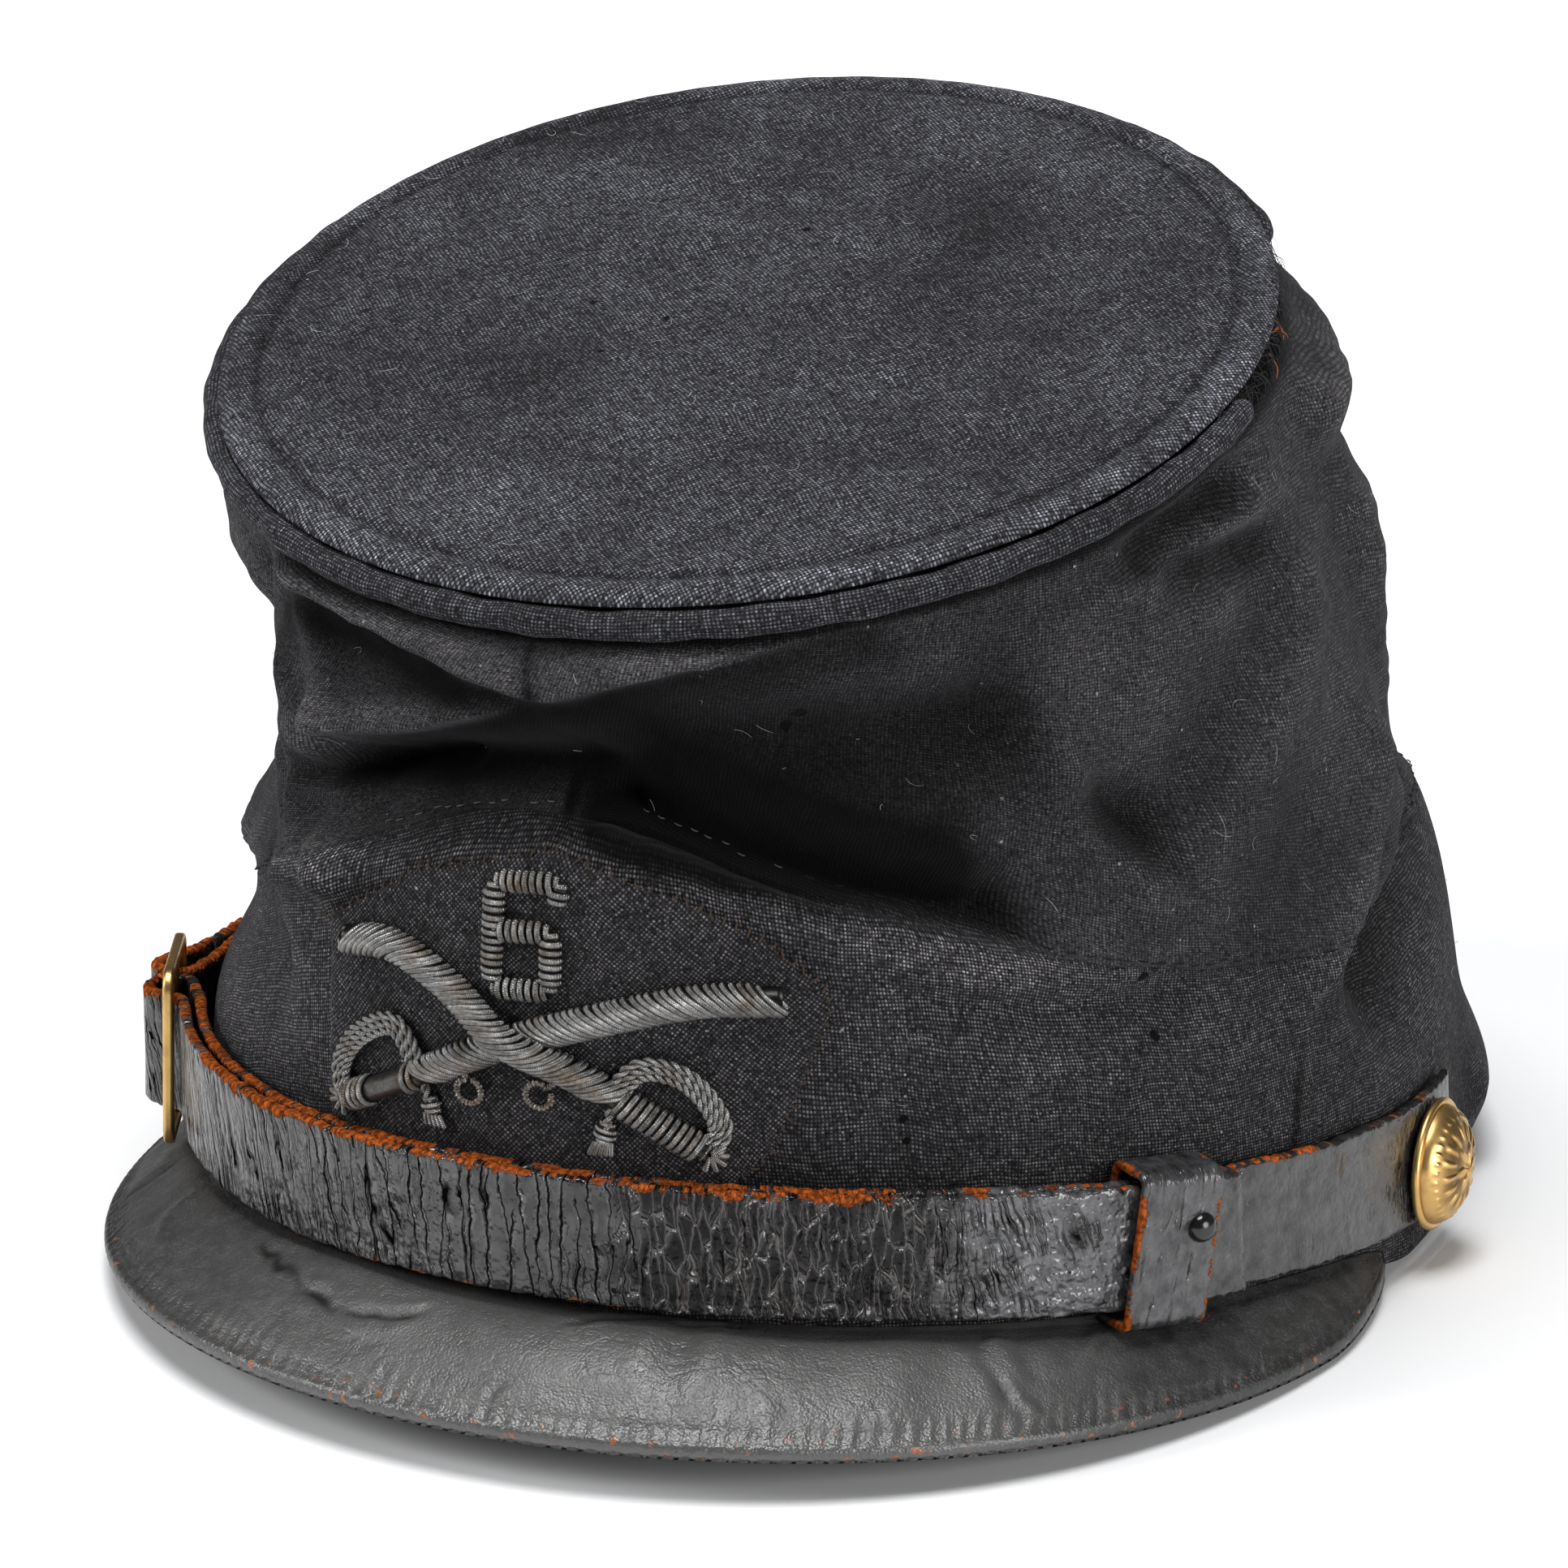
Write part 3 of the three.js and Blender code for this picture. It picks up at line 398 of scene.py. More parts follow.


# woven wool: a dot for each thread crossing, the product of two raised
# cosines over the pitch; every dot has its own brightness, faded in broad
# patches, brighter where worn, which on proud folds is partly a painted highlight, and darker by painted
# shade in the hollows of the folds
def makeWool(name, look, holes=()):
    f = Finish(name)
    uv, place = f.uv(), f.places()
    stray = f.add("VectorMath", {0: f.add("TexNoise", {"Vector": place, "Scale": 90.0, "Detail": 2.0},
                                          output=1),
                                 1: (2.2, 2.2, 0)}, operation="MULTIPLY")
    turned = f.add("Mapping", {"Vector": uv, "Rotation": (0, 0, look["turn"])})
    cell = f.add("VectorMath", {0: f.add("VectorMath", {0: turned, 1: stray}, operation="ADD"),
                                1: (1 / look["pitch"], 1 / look["pitch"], 0)}, operation="MULTIPLY")
    xy = f.add("SeparateXYZ", {0: cell})
    warp = f.calc("MULTIPLY_ADD", f.calc("COSINE", f.calc("MULTIPLY", xy, 2 * math.pi)), 0.5, 0.5)
    weft = f.calc("MULTIPLY_ADD", f.calc("COSINE", f.calc("MULTIPLY", xy.node.outputs[1], 2 * math.pi)),
                  0.5, 0.5)
    dots = f.calc("MULTIPLY", warp, weft)
    whole = f.add("VectorMath", {0: f.add("VectorMath", {0: cell, 1: (0.5, 0.5, 0.5)}, operation="ADD")},
                  operation="FLOOR")
    chance = f.add("TexWhiteNoise", {"Vector": whole})
    nap = f.noise(place, 2400, 3, 0.7)
    patchy = f.ramp(f.noise(place, look["fadeSize"], 4, 0.62), 0.3, 0.72, look["fadeLow"], look["fadeHigh"])
    slubs = f.calc("MULTIPLY", f.noise(f.add("VectorMath", {0: cell, 1: (0.9, 0.11, 0)},
                                             operation="MULTIPLY"), 1.0, 1),
                   f.noise(f.add("VectorMath", {0: cell, 1: (0.11, 0.9, 7)}, operation="MULTIPLY"), 1.0, 1))
    level = f.calc("MULTIPLY", f.calc("MULTIPLY", dots, f.ramp(chance, 0.0, 1.0, 0.1, 1.75)),
                   f.ramp(slubs, 0.12, 0.4, 0.35, 1.75))
    fuzzy = f.ramp(nap, 0.35, 0.75, -0.07 + 0.1 * look["fuzz"], 0.2 + 0.3 * look["fuzz"])
    level = f.calc("MULTIPLY_ADD", level, 1 - look["fuzz"], fuzzy)
    # worn brightens the cloth: wear, and on proud folds partly a painted highlight
    level = f.calc("MULTIPLY", level, f.calc("MULTIPLY", patchy,
                                             f.calc("MULTIPLY_ADD", f.value("worn"), 0.9, 1.0)))
    level = f.calc("MAXIMUM", level, 0.0)
    colour = f.mix(level, look["dark"], look["pale"])
    colour.node.clamp_factor = False
    speck = f.add("TexVoronoi", {"Vector": place, "Scale": 430.0})
    pick = f.add("SeparateXYZ", {0: speck.node.outputs["Color"]})
    flecks = f.ramp(pick.node.outputs[1], 0.0, 1.0, 0.03, 0.10)
    lint = f.calc("MULTIPLY", f.calc("LESS_THAN", speck, flecks), f.calc("GREATER_THAN", pick, look["lint"]))
    colour = f.mix(f.calc("MULTIPLY", lint, f.ramp(pick.node.outputs[2], 0.0, 1.0, 0.15, 0.8)), colour,
                   (0.34, 0.34, 0.35))
    # painted shade: the colour multiplied down by the hollow value
    dim = f.calc("MULTIPLY_ADD", f.value("hollow"), -0.98, 1.0)
    colour = f.mix(1.0, colour, f.add("CombineXYZ", {0: dim, 1: dim, 2: dim}), "MULTIPLY")
    height = f.calc("MULTIPLY_ADD", nap, 0.5, dots)
    frayed = f.noise(place, look["ragged"], 2) if holes else None
    for x, y, z, size in holes:
        away = f.add("VectorMath", {0: place, 1: (x * mm, y * mm, z * mm)}, output=1, operation="DISTANCE")
        ragged = f.calc("MULTIPLY_ADD", frayed, size * mm * 1.2, away)
        torn = f.ramp(ragged, size * mm * 1.25, size * mm * 1.5, 1.0, 0.0)
        colour = f.mix(torn, colour, (0.0012, 0.0012, 0.0015))
        height = f.calc("SUBTRACT", height, f.calc("MULTIPLY", torn, 3.0))
    bump = f.add("Bump", {"Strength": 0.6, "Distance": look["relief"] * mm, "Height": height})
    return f.finish(Base_Color=colour, Normal=bump, Roughness=0.95, Specular_IOR_Level=0.1,
                    Sheen_Weight=0.03, Sheen_Roughness=0.5, Sheen_Tint=(0.6, 0.62, 0.68, 1))


# cloth of the crown and the band

clothGrid = dict(frontFrom=-48, frontTo=112, frontColumns=290, backColumns=110, crownRows=100, bandRows=64)


# angles round the head, close together at the front where the folds are fine
def clothAngles():
    g = clothGrid
    front = np.linspace(g["frontFrom"], g["frontTo"], g["frontColumns"], endpoint=False)
    return np.r_[front, np.linspace(g["frontTo"], g["frontFrom"] + 360, g["backColumns"], endpoint=False)]


# how each place stands to its neighbourhood, from the fold
# depth alone: proud places get wear and a painted highlight, sunken ones painted shade
def standing(angle, height, reach):
    ring = np.arange(8) * math.pi / 4
    near = sum(foldDepth(angle + reach / perDegree * math.cos(k), height + reach * math.sin(k))
               for k in ring) / 8
    return foldDepth(angle, height) - near


# worn where a place stands proud, partly wear and partly a painted highlight; hollow, a painted shade, where
# it is sunken or lies on a stroke of the painted shade table
def wearAndPaintedShade(angle, height):
    fine, wide = standing(angle, height, 6), standing(angle, height, 13)
    # sunken places and the strokes of the table above both darken the cloth as painted shade
    sunken = np.clip(-0.05 * fine - 0.06 * wide - 0.08, 0, 0.8)
    strokeShade = np.clip(strokes(paintedShadeStrokes, angle, height, 5), 0, 0.98)
    deep = 1 - (1 - sunken) * (1 - strokeShade)
    return dict(worn=np.clip(fine / 3.0, 0, 1), hollow=deep)


# distance round the cloth and distance up it, in millimetres, the mean over the other way
def clothUv(points):
    along = np.linalg.norm(np.diff(np.concatenate([points, points[:1]]), axis=0), axis=-1)
    up = np.linalg.norm(np.diff(points, axis=1), axis=-1)
    runs = np.cumsum(along.mean(1, keepdims=True) + 0 * along, axis=0)
    u = np.concatenate([np.zeros((1, points.shape[1])), runs])
    rises = np.cumsum(up.mean(0, keepdims=True) + 0 * up, axis=1)
    v = np.concatenate([np.zeros((len(points), 1)), rises], axis=1)
    return np.stack([u, np.concatenate([v, v[:1]])], -1)


# x, y, z and size of the moth holes
crownHoles = [placeOn(28.5, 94.5, 1.1), placeOn(27, 92.6, 0.9)]
bandHoles = [placeOn(57, 55.5, 0.9), placeOn(57.5, 47.5, 0.9), placeOn(33.5, 42.5, 0.8),
             placeOn(33.7, 39.6, 0.7)]
angles = clothAngles()
grid = np.meshgrid(angles, np.linspace(0, 1, clothGrid["crownRows"] + 1), indexing="ij")
points = crownPoint(*grid)
marks = wearAndPaintedShade(grid[0], points[..., 2])
# painted shadow under the welt: the top of the crown darkened through the hollow value, carried onto the
# collar
marks["hollow"] = np.maximum(marks["hollow"], 0.9 * smooth(grid[1], 0.955, 0.985))
collarFoot, collarTop = tip["edgeDrop"] + welt["cord"] + 2 * gap, tip["wall"] + 0.1
collar = np.stack([tipPoint(tip["radius"] - inset, angles, below)
                   for inset, below in ((1.2, collarFoot), (2.4, collarFoot - 0.4), (2.8, collarTop))], 1)
points = np.concatenate([points, collar], axis=1)
marks = {key: np.concatenate([value, np.repeat(value[:, -1:] * 0.8, 3, axis=1)], axis=1) for key,
         value in marks.items()}
crown = makePiece("crown_cloth", [gridPart(points, closeU=True, uv=clothUv(points), **marks)],
                  makeWool("crownWool", dict(woolLook, fadeHigh=1.5, fuzz=0.5), crownHoles),
                  ["crown"])
thicken(crown, wall["crown"])

bandWool = makeWool("bandWool", dict(woolLook, turn=-0.06, fadeHigh=1.55), bandHoles)
grid = np.meshgrid(angles, np.linspace(0, 1, clothGrid["bandRows"] + 1), indexing="ij")
points = bandPoint(*grid)
band = makePiece("band_cloth", [gridPart(points, closeU=True, uv=clothUv(points),
                                         **wearAndPaintedShade(grid[0], points[..., 2]))],
                 bandWool, ["band"])
thicken(band, wall["band"])


# tip and welt

tipLook = dict(columns=300, rings=44, slack=0.35, roll=0.5, groove=0.4)


# the tip: a shallow dome that falls away to a rolled edge,
# closed by a flat underside, slack like sagging cloth
def tipSurface():
    r, roll = tip["radius"], tip["roll"]
    turn = np.linspace(0, math.pi / 2, 9)
    underR = np.r_[0.4, np.linspace(8, r - 5, 8), r - 0.4]
    underZ = np.r_[np.full(9, -tip["wall"]), -tip["edgeDrop"]]
    inner = np.linspace(9, r - roll - 0.4, tipLook["rings"])[1:]
    flatR = r - roll - np.r_[np.linspace(0, 9, 25)[1:], inner]
    radius = np.r_[underR, r - roll + roll * np.cos(turn), flatR]
    sag = -0.5 * smooth(radius, r - 7, r - roll) ** 2
    level = np.r_[underZ, -roll + roll * np.sin(turn), tip["dome"] * (1 - (flatR / (r - roll)) ** 2)]
    level = level + np.where(np.arange(len(radius)) < len(underR), 0,
                             sag * (1 - np.clip(-level / roll, 0, 1)))
    rollRing = tipLook["roll"] * np.exp(-((radius - r + 2.4) / 1.5) ** 2)
    turnedIn = rollRing - tipLook["groove"] * np.exp(-((radius - r + 5.2) / 0.9) ** 2)
    level = level + np.where(np.arange(len(radius)) < len(underR) + 6, 0, turnedIn)
    angle, share = np.meshgrid(np.linspace(0, 360, tipLook["columns"], endpoint=False),
                               np.arange(len(radius)), indexing="ij")
    rr, top = radius[share], share >= len(underR) + 6
    x, y = rr * np.sin(np.radians(angle)), -rr * np.cos(np.radians(angle))
    waves = (np.sin(0.11 * x + 0.05 * y) * np.sin(0.09 * y - 0.03 * x + 1) + 0.5
             * np.sin(0.21 * x - 0.17 * y + 2)
             * np.sin(0.19 * y + 0.1 * x)) * tipLook["slack"]
    puckers = 0.10 * np.sin(np.radians(angle) * 57) * np.exp(-((rr - r + 4) / 3) ** 2)
    points = tipPoint(rr, angle, -(level[share] + top * (waves * smooth(r - rr, 3, 16) + puckers)))
    uv = np.stack([np.concatenate([x, x[:1]]), np.concatenate([y, y[:1]])], -1)
    worn = 0.9 * np.exp(-((rr - r + 1.5) / 1.6) ** 2) * (0.6 + 0.4 * np.sin(np.radians(angle) * 13))
    # hollow: painted shade along the groove inside the rolled edge
    part = gridPart(points, closeU=True, uv=uv, worn=np.clip(worn, 0, 1),
                    hollow=0.5 * top * np.exp(-((rr - r + 5.2) / 0.7) ** 2))
    nv = len(radius)
    for ring in (np.arange(tipLook["columns"])[::-1] * nv, np.arange(tipLook["columns"]) * nv + nv - 1):
        part["loops"].append(ring)
        part["sizes"].append(np.array([len(ring)]))
        part["uvs"].append(np.zeros((len(ring), 2)))
    return part


# moth holes: across, towards the back and size, on the tip's face
tipHoles = [(*tipPoint(np.hypot(x, y), math.degrees(math.atan2(x, -y)), -tip["dome"]), size) for x, y,
            size in (
    (-9.5, -3.5, 0.75), (-21, -2, 0.8), (-1, 22, 0.7), (-24, -54, 0.9), (-14, -14, 0.6), (-56, -14, 0.7))]
tipWool = makeWool("tipWool", dict(woolLook, pale=(0.108, 0.110, 0.126), turn=0.75, pitch=0.49,
                                   fadeHigh=2.0), tipHoles)
makePiece("tip_cloth", [tipSurface()], tipWool, ["tip"])


# the welt: a round cord under the tip's edge, its radius swelling a little along it
def weltSurface(steps=520, sides=14):
    angle = np.linspace(welt["tornTo"], welt["tornFrom"] + 360, steps)
    centre = tipPoint(welt["ring"], angle, tip["edgeDrop"] + gap + welt["cord"] / 2)
    out = unit(tipPoint(1.0, angle, 0) - tipPoint(0.0, angle, 0))
    up = unit(tipPoint(0.0, angle, -1) - tipPoint(0.0, angle, 0))
    turn = np.linspace(0, 2 * math.pi, sides, endpoint=False)
    a = np.radians(angle)[:, None]
    radius = welt["cord"] / 2 * (1 + 0.05 * np.sin(31 * a) + 0.04
                                 * np.sin(53 * a + turn)) * np.ones_like(turn)
    radius *= (np.sqrt(np.clip(1 - (1 - np.minimum(np.arange(steps), np.arange(steps)[::-1]) / 4) ** 2,
                               0.03, 1)
                       * (np.minimum(np.arange(steps), np.arange(steps)[::-1]) < 4)
                       + (np.minimum(np.arange(steps), np.arange(steps)[::-1]) >= 4)))[:, None]
    points = sweep(centre, out, up, radius * np.cos(turn), radius * np.sin(turn))
    u = np.radians(angle)[:, None] * welt["ring"] + 0 * np.r_[turn, 0]
    uv = np.stack([u, np.r_[turn, 2 * math.pi] * welt["cord"] / 2 + 0 * u], -1)
    return gridPart(points[:, ::-1], closeV=True, uv=uv, caps=True, worn=np.full(points.shape[:2], 0.35),
                    hollow=np.zeros(points.shape[:2]))


weltWool = makeWool("weltWool", dict(woolLook, pale=(0.090, 0.092, 0.104), turn=0.0, fadeHigh=1.3))
makePiece("welt_cord", [weltSurface()], weltWool, ["welt"])

# peak

visor = dict(halfWidth=88.7, sideY=-9.5, front=-109, squareness=2.11, arch=5, leather=2.2, bow=3.4,
             endAngle=84,
             hornFrom=0.88, stitchLine=1.3, stitchPitch=2.3, pucker=0.55)
# soft dents: along the peak, across it, reach along and across, depth
visorDents = [
    (0.575, 0.42, 0.008, 0.22, 0.5), (0.592, 0.50, 0.007, 0.30, -0.5), (0.608, 0.40, 0.008, 0.25, 0.4),
    (0.66, 0.55, 0.030, 0.30, -0.5), (0.69, 0.40, 0.020, 0.25, 0.4), (0.72, 0.60, 0.016, 0.25, -0.4),
    (0.33, 0.60, 0.060, 0.20, -0.6), (0.40, 0.25, 0.040, 0.16, 0.6), (0.47, 0.70, 0.050, 0.20, -0.5),
    (0.53, 0.65, 0.030, 0.18, 0.4), (0.20, 0.60, 0.040, 0.25, -0.6), (0.86, 0.55, 0.030, 0.30, -0.5),
]
# creases: along and across the peak at both ends, half width, depth
visorCreases = [
    (0.331, 0.34, 0.388, 0.48, 1.1, -0.6), (0.388, 0.48, 0.425, 0.55, 0.9, -0.8),
                (0.425, 0.55, 0.468, 0.45, 0.8, -0.7),
    (0.430, 0.66, 0.460, 0.58, 0.7, 0.3), (0.531, 0.31, 0.578, 0.12, 0.7, -0.45),
                (0.582, 0.12, 0.614, 0.10, 0.7, -0.8),
    (0.742, 0.25, 0.765, 0.70, 1.2, 0.5), (0.752, 0.60, 0.768, 0.92, 1.0, 0.4),
                (0.797, 0.20, 0.792, 0.66, 1.0, 0.4),
    (0.732, 0.30, 0.750, 0.75, 1.2, -0.4), (0.640, 0.66, 0.655, 0.97, 0.8, -0.25),
                (0.690, 0.72, 0.683, 0.97, 0.8, -0.25),
    (0.520, 0.68, 0.515, 0.98, 0.7, -0.35), (0.290, 0.70, 0.280, 0.97, 0.8, -0.35),
                (0.840, 0.30, 0.850, 0.80, 1.2, 0.35),
    (0.240, 0.20, 0.255, 0.70, 1.2, 0.3), (0.180, 0.30, 0.170, 0.80, 1.0, -0.35),
]


# upper face of the peak: from the rim at the sewn edge to a superellipse at the free edge, bowed up between
def visorPoint(u, v):
    side = 2 * u - 1
    angle = side * visor["endAngle"]
    inner = ovalPoint(rim, angle, np.maximum(0, stationValue("rise", angle))
                      + visor["leather"]) + outward(angle) * 2 * gap
    turn, power = math.pi / 2 * side, 2 / visor["squareness"]
    x = visor["halfWidth"] * np.sign(side) * np.abs(np.sin(turn)) ** power
    y = visor["sideY"] + (visor["front"] - visor["sideY"]) * np.clip(np.cos(turn), 0, 1) ** power
    outer = np.stack([x, y, visor["arch"] * (1 - np.abs(x / visor["halfWidth"]) ** 3) + visor["leather"]],
                     -1)
    horn = np.sqrt(1 - np.clip((np.abs(side) - visor["hornFrom"]) / (1 - visor["hornFrom"]), 0, 0.995) ** 2)
    point = inner + (outer - inner) * (v * horn)[..., None]
    point[..., 2] += 4 * visor["bow"] * v * (1 - v) * np.cos(turn)
    return point


# the peak: for each place along it a closed section of top face, round free edge and underside
def visorSurface(columns=420, across=56):
    r = visor["leather"] / 2
    u = np.linspace(0.002, 0.998, columns)
    uu, vv = np.meshgrid(u, np.linspace(0, 1, across), indexing="ij")
    top = visorPoint(uu, vv)
    width = np.linalg.norm(top[:, -1] - top[:, 0], axis=-1)[:, None]
    reach = unit((top[:, -1] - top[:, 0]) * [1, 1, 0])
    top = visorPoint(uu, vv * np.maximum(1 - 0.9 * r / np.maximum(width, 3), 0.4))
    along = np.r_[0, np.cumsum(np.linalg.norm(np.diff(top[:, -1], axis=0), axis=-1))][:, None]
    fromEdge = (1 - vv) * width
    dents = sum(d * np.exp(-((uu - a) / ra) ** 2 - ((vv - b) / rb) ** 2) for a, b, ra, rb, d in visorDents)
    strayed = top + 1.3 * np.stack([lineNoise(top[..., 1] + 200, 4.1, 2) + 0.5
                                    * lineNoise(top[..., 1] + 200, 1.6, 6),
                                    lineNoise(top[..., 0] + 200, 4.3, 3) + 0.5
                                    * lineNoise(top[..., 0] + 200, 1.7, 7), 0 * uu], -1)
    # deep: how dark the sunken creases are painted, a painted shade
    deep = 0 * uu
    for u0, v0, u1, v1, half, depth in visorCreases:
        start, end = visorPoint(np.array([u0, u1]), np.array([v0, v1]))
        run = (strayed - start) @ (end - start) / ((end - start) @ (end - start))
        share = np.clip(run, 0, 1)
        away = np.linalg.norm(strayed - start - share[..., None] * (end - start), axis=-1) / half
        bend = np.exp(-away**2) - 0.25 * np.exp(-((away - 2) / 1.3) ** 2)
        dents = dents + depth * (1 - 0.8 * (2 * share - 1) ** 4) * bend
        deep = np.maximum(deep, np.clip(-1.4 * depth, 0, 1) * (1 - (2 * share - 1) ** 6)
                          * np.exp(-((1.7 * away) ** 2)))
    groove = -0.18 * np.exp(-((fromEdge - visor["stitchLine"]) / 0.5) ** 2)
    phase = along * math.pi / visor["stitchPitch"] + 0.7 * np.sin(along * 0.37)
    spread = 1.3 + 1.2 * lineNoise(along, 9.0, 4) ** 2
    nearStitch = np.exp(-((fromEdge - visor["stitchLine"]) / spread) ** 2)
    puckers = visor["pucker"] * (np.abs(np.sin(phase)) - 0.5) * nearStitch
    ripple = 0.10 * np.sin(along * 0.55 + 3 * np.sin(along * 0.05)) * smooth(np.abs(uu - 0.5), 0.12, 0.36)
    held = smooth(vv, 0, 0.1) * smooth(width, 2, 9)
    relief = (dents + ripple) * held * smooth(1 - vv, 0, 0.1)
    top[..., 2] += relief + (groove + puckers) * smooth(width, 2, 9)
    turn = np.linspace(0, math.pi, 9)[1:]
    edge = top[:, -1:] + reach[:, None] * (0.9 * r * np.sin(turn))[:, None]
    edge = edge + np.array([0, 0, 1]) * (r * (np.cos(turn) - 1))[:, None]
    under = visorPoint(*np.meshgrid(u, np.linspace(0.97, 0, 12), indexing="ij"))
    under[..., 2] -= visor["leather"]
    loop = np.concatenate([top, edge, under], axis=1)
    loop[..., 2] = np.maximum(loop[..., 2], 0.02)
    n = loop.shape[1]
    across2 = np.concatenate([vv * width, width + r * turn + 0 * width, np.linspace(1, 0, 12) * width,
                              0 * width], axis=1)
    uv = np.stack([along + 0 * across2, across2], -1)
    # the middle, where the satin highlight falls: lower roughness, and a paler colour as a painted highlight
    middle = smooth(uu, 0.3, 0.55) * (1 - smooth(uu, 0.72, 0.84))
    polish = middle + 0.35 * smooth(uu, 0.2, 0.35) * (1 - smooth(uu, 0.35, 0.55))
    polish = np.concatenate([polish, np.repeat(polish[:, -1:], n - across, axis=1)], axis=1)
    deep = np.concatenate([deep, np.zeros((columns, n - across))], axis=1)
    near = np.concatenate([np.exp(-fromEdge / 1.6), np.ones((columns, len(turn))), np.zeros((columns, 12))],
                          axis=1)
    return gridPart(loop[:, ::-1], closeV=True, uv=uv[:, ::-1], caps=True, polish=polish[:, ::-1],
                    edge=near[:, ::-1], deep=deep[:, ::-1])


# black is the paler colour of the polished middle, a painted highlight; matte is the napped ends
visorLook = dict(black=(0.0690, 0.0682, 0.0674), matte=(0.0155, 0.0152, 0.0150),
                 scuff=(0.066, 0.064, 0.062),
                 rust=(0.24, 0.070, 0.020), satin=0.33, nap=0.56)


# waxed leather: satin where polished, with a paler colour there as a painted highlight, napped at the ends,
# pebbled by small cells, wrinkled by large ones, creases darkened as painted shade, rust specks on the edge
def makeVisorLeather():
    f = Finish("visorLeather")
    place, polish, edge = f.places(), f.value("polish"), f.value("edge")
    broad, grain = f.noise(place, 60, 1.5, 0.45), f.noise(place, 2800, 3, 0.65)
    mottle = f.noise(place, 320, 4, 0.7)
    bent = f.mix(0.03, place, f.add("TexNoise", {"Vector": place, "Scale": 130.0, "Detail": 2.0}, output=1))
    pebble = f.add("TexVoronoi", {"Vector": place, "Scale": 2600.0})
    wrinkle = f.ramp(f.add("TexVoronoi", {"Vector": bent, "Scale": 150.0}, feature="DISTANCE_TO_EDGE"), 0.0,
                     0.16, 1.0, 0.0)
    wrinkle = f.calc("MULTIPLY", wrinkle, f.ramp(broad, 0.46, 0.62))
    colour = f.mix(polish, visorLook["matte"], visorLook["black"])
    scuff = f.calc("MULTIPLY", f.ramp(grain, 0.5, 0.64), f.ramp(mottle, 0.38, 0.66, 0.1, 1.0))
    colour = f.mix(scuff, colour, visorLook["scuff"])
    # painted shade in the creases
    colour = f.mix(f.calc("MULTIPLY", f.value("deep"), 0.85), colour, (0.0025, 0.0022, 0.002))
    speck = f.calc("MULTIPLY", f.ramp(f.noise(place, 620, 3), 0.64, 0.68), f.ramp(edge, 0.3, 0.8))
    colour = f.mix(speck, colour, visorLook["rust"])
    rough = f.calc("MULTIPLY_ADD", f.calc("SUBTRACT", mottle, 0.5), 0.7,
                   f.ramp(polish, 0.0, 1.0, visorLook["nap"], visorLook["satin"]))
    rough = f.calc("MULTIPLY_ADD", edge, -0.12, rough)
    height = f.calc("MULTIPLY_ADD", broad, 9.0, f.calc("MULTIPLY", wrinkle, -0.35))
    height = f.calc("ADD", height, f.calc("MULTIPLY_ADD", grain, 0.45,
                                          f.calc("MULTIPLY_ADD", mottle, 1.2,
                                                 f.calc("MULTIPLY", pebble, -0.4))))
    bump = f.add("Bump", {"Strength": 0.8, "Distance": 0.2 * mm, "Height": height})
    return f.finish(Base_Color=colour, Roughness=rough, Normal=bump,
                    Specular_IOR_Level=f.ramp(f.value("deep"), 0.0, 0.7, 0.65, 0.05))


makePiece("visor_leather", [visorSurface()], makeVisorLeather(), ["visor"])

# chin strap, keeper and buckle

strap = dict(width=17.5, leather=1.6, ragged=0.35, polishAt=-11)
longRun = [
    (97, 1.4), (85, 1.4), (70, 2.2), (55, 3.2), (40, 2.8), (20, 2.8), (0, 2.8), (-20, 2.8), (-38, 2.2),
           (-50, 1.7),
    (-56, 1.7), (-59, 2.4), (-61.5, 3.1), (-63.3, 5.7), (-61.7, 8.7), (-59.5, 8.7), (-58, 6.6),
           (-56.7, 4.4),
    (-54.5, 3.8), (-50, 3.9), (-38, 4.3), (-20, 4.9), (0, 4.9), (20, 4.9), (40, 4.9), (55, 5.2), (62, 5),
]
shortRun = [
    (-97, 1.4), (-85, 1.4), (-75, 1.5), (-70, 2), (-67.4, 3.2), (-65.6, 3.3), (-64.7, 6), (-65.6, 8.9),
    (-67.8, 8.9), (-71, 5.8), (-76, 3.9), (-80, 3.8),
]


# a closed loop of a rounded rectangle: points and their distance round it
def roundedLoop(width, height, radius, perCorner=4, perSide=1):
    x, y = width / 2 - radius, height / 2 - radius
    loop = []
    for k, (cx, cy) in enumerate([(x, -y), (x, y), (-x, y), (-x, -y)]):
        turn = np.linspace(-90 + 90 * k, 90 * k, perCorner)
        loop.append(np.stack([cx + radius * np.cos(np.radians(turn)),
                              cy + radius * np.sin(np.radians(turn))], -1))
    parts = []
    for k in range(4):
        start, end = loop[k][-1], loop[(k + 1) % 4][0]
        steps = perSide if k % 2 else max(1, perSide // 6)
        parts += [loop[k], start + (end - start) * np.linspace(0, 1, steps + 2)[1:-1, None]]
    return np.concatenate(parts)


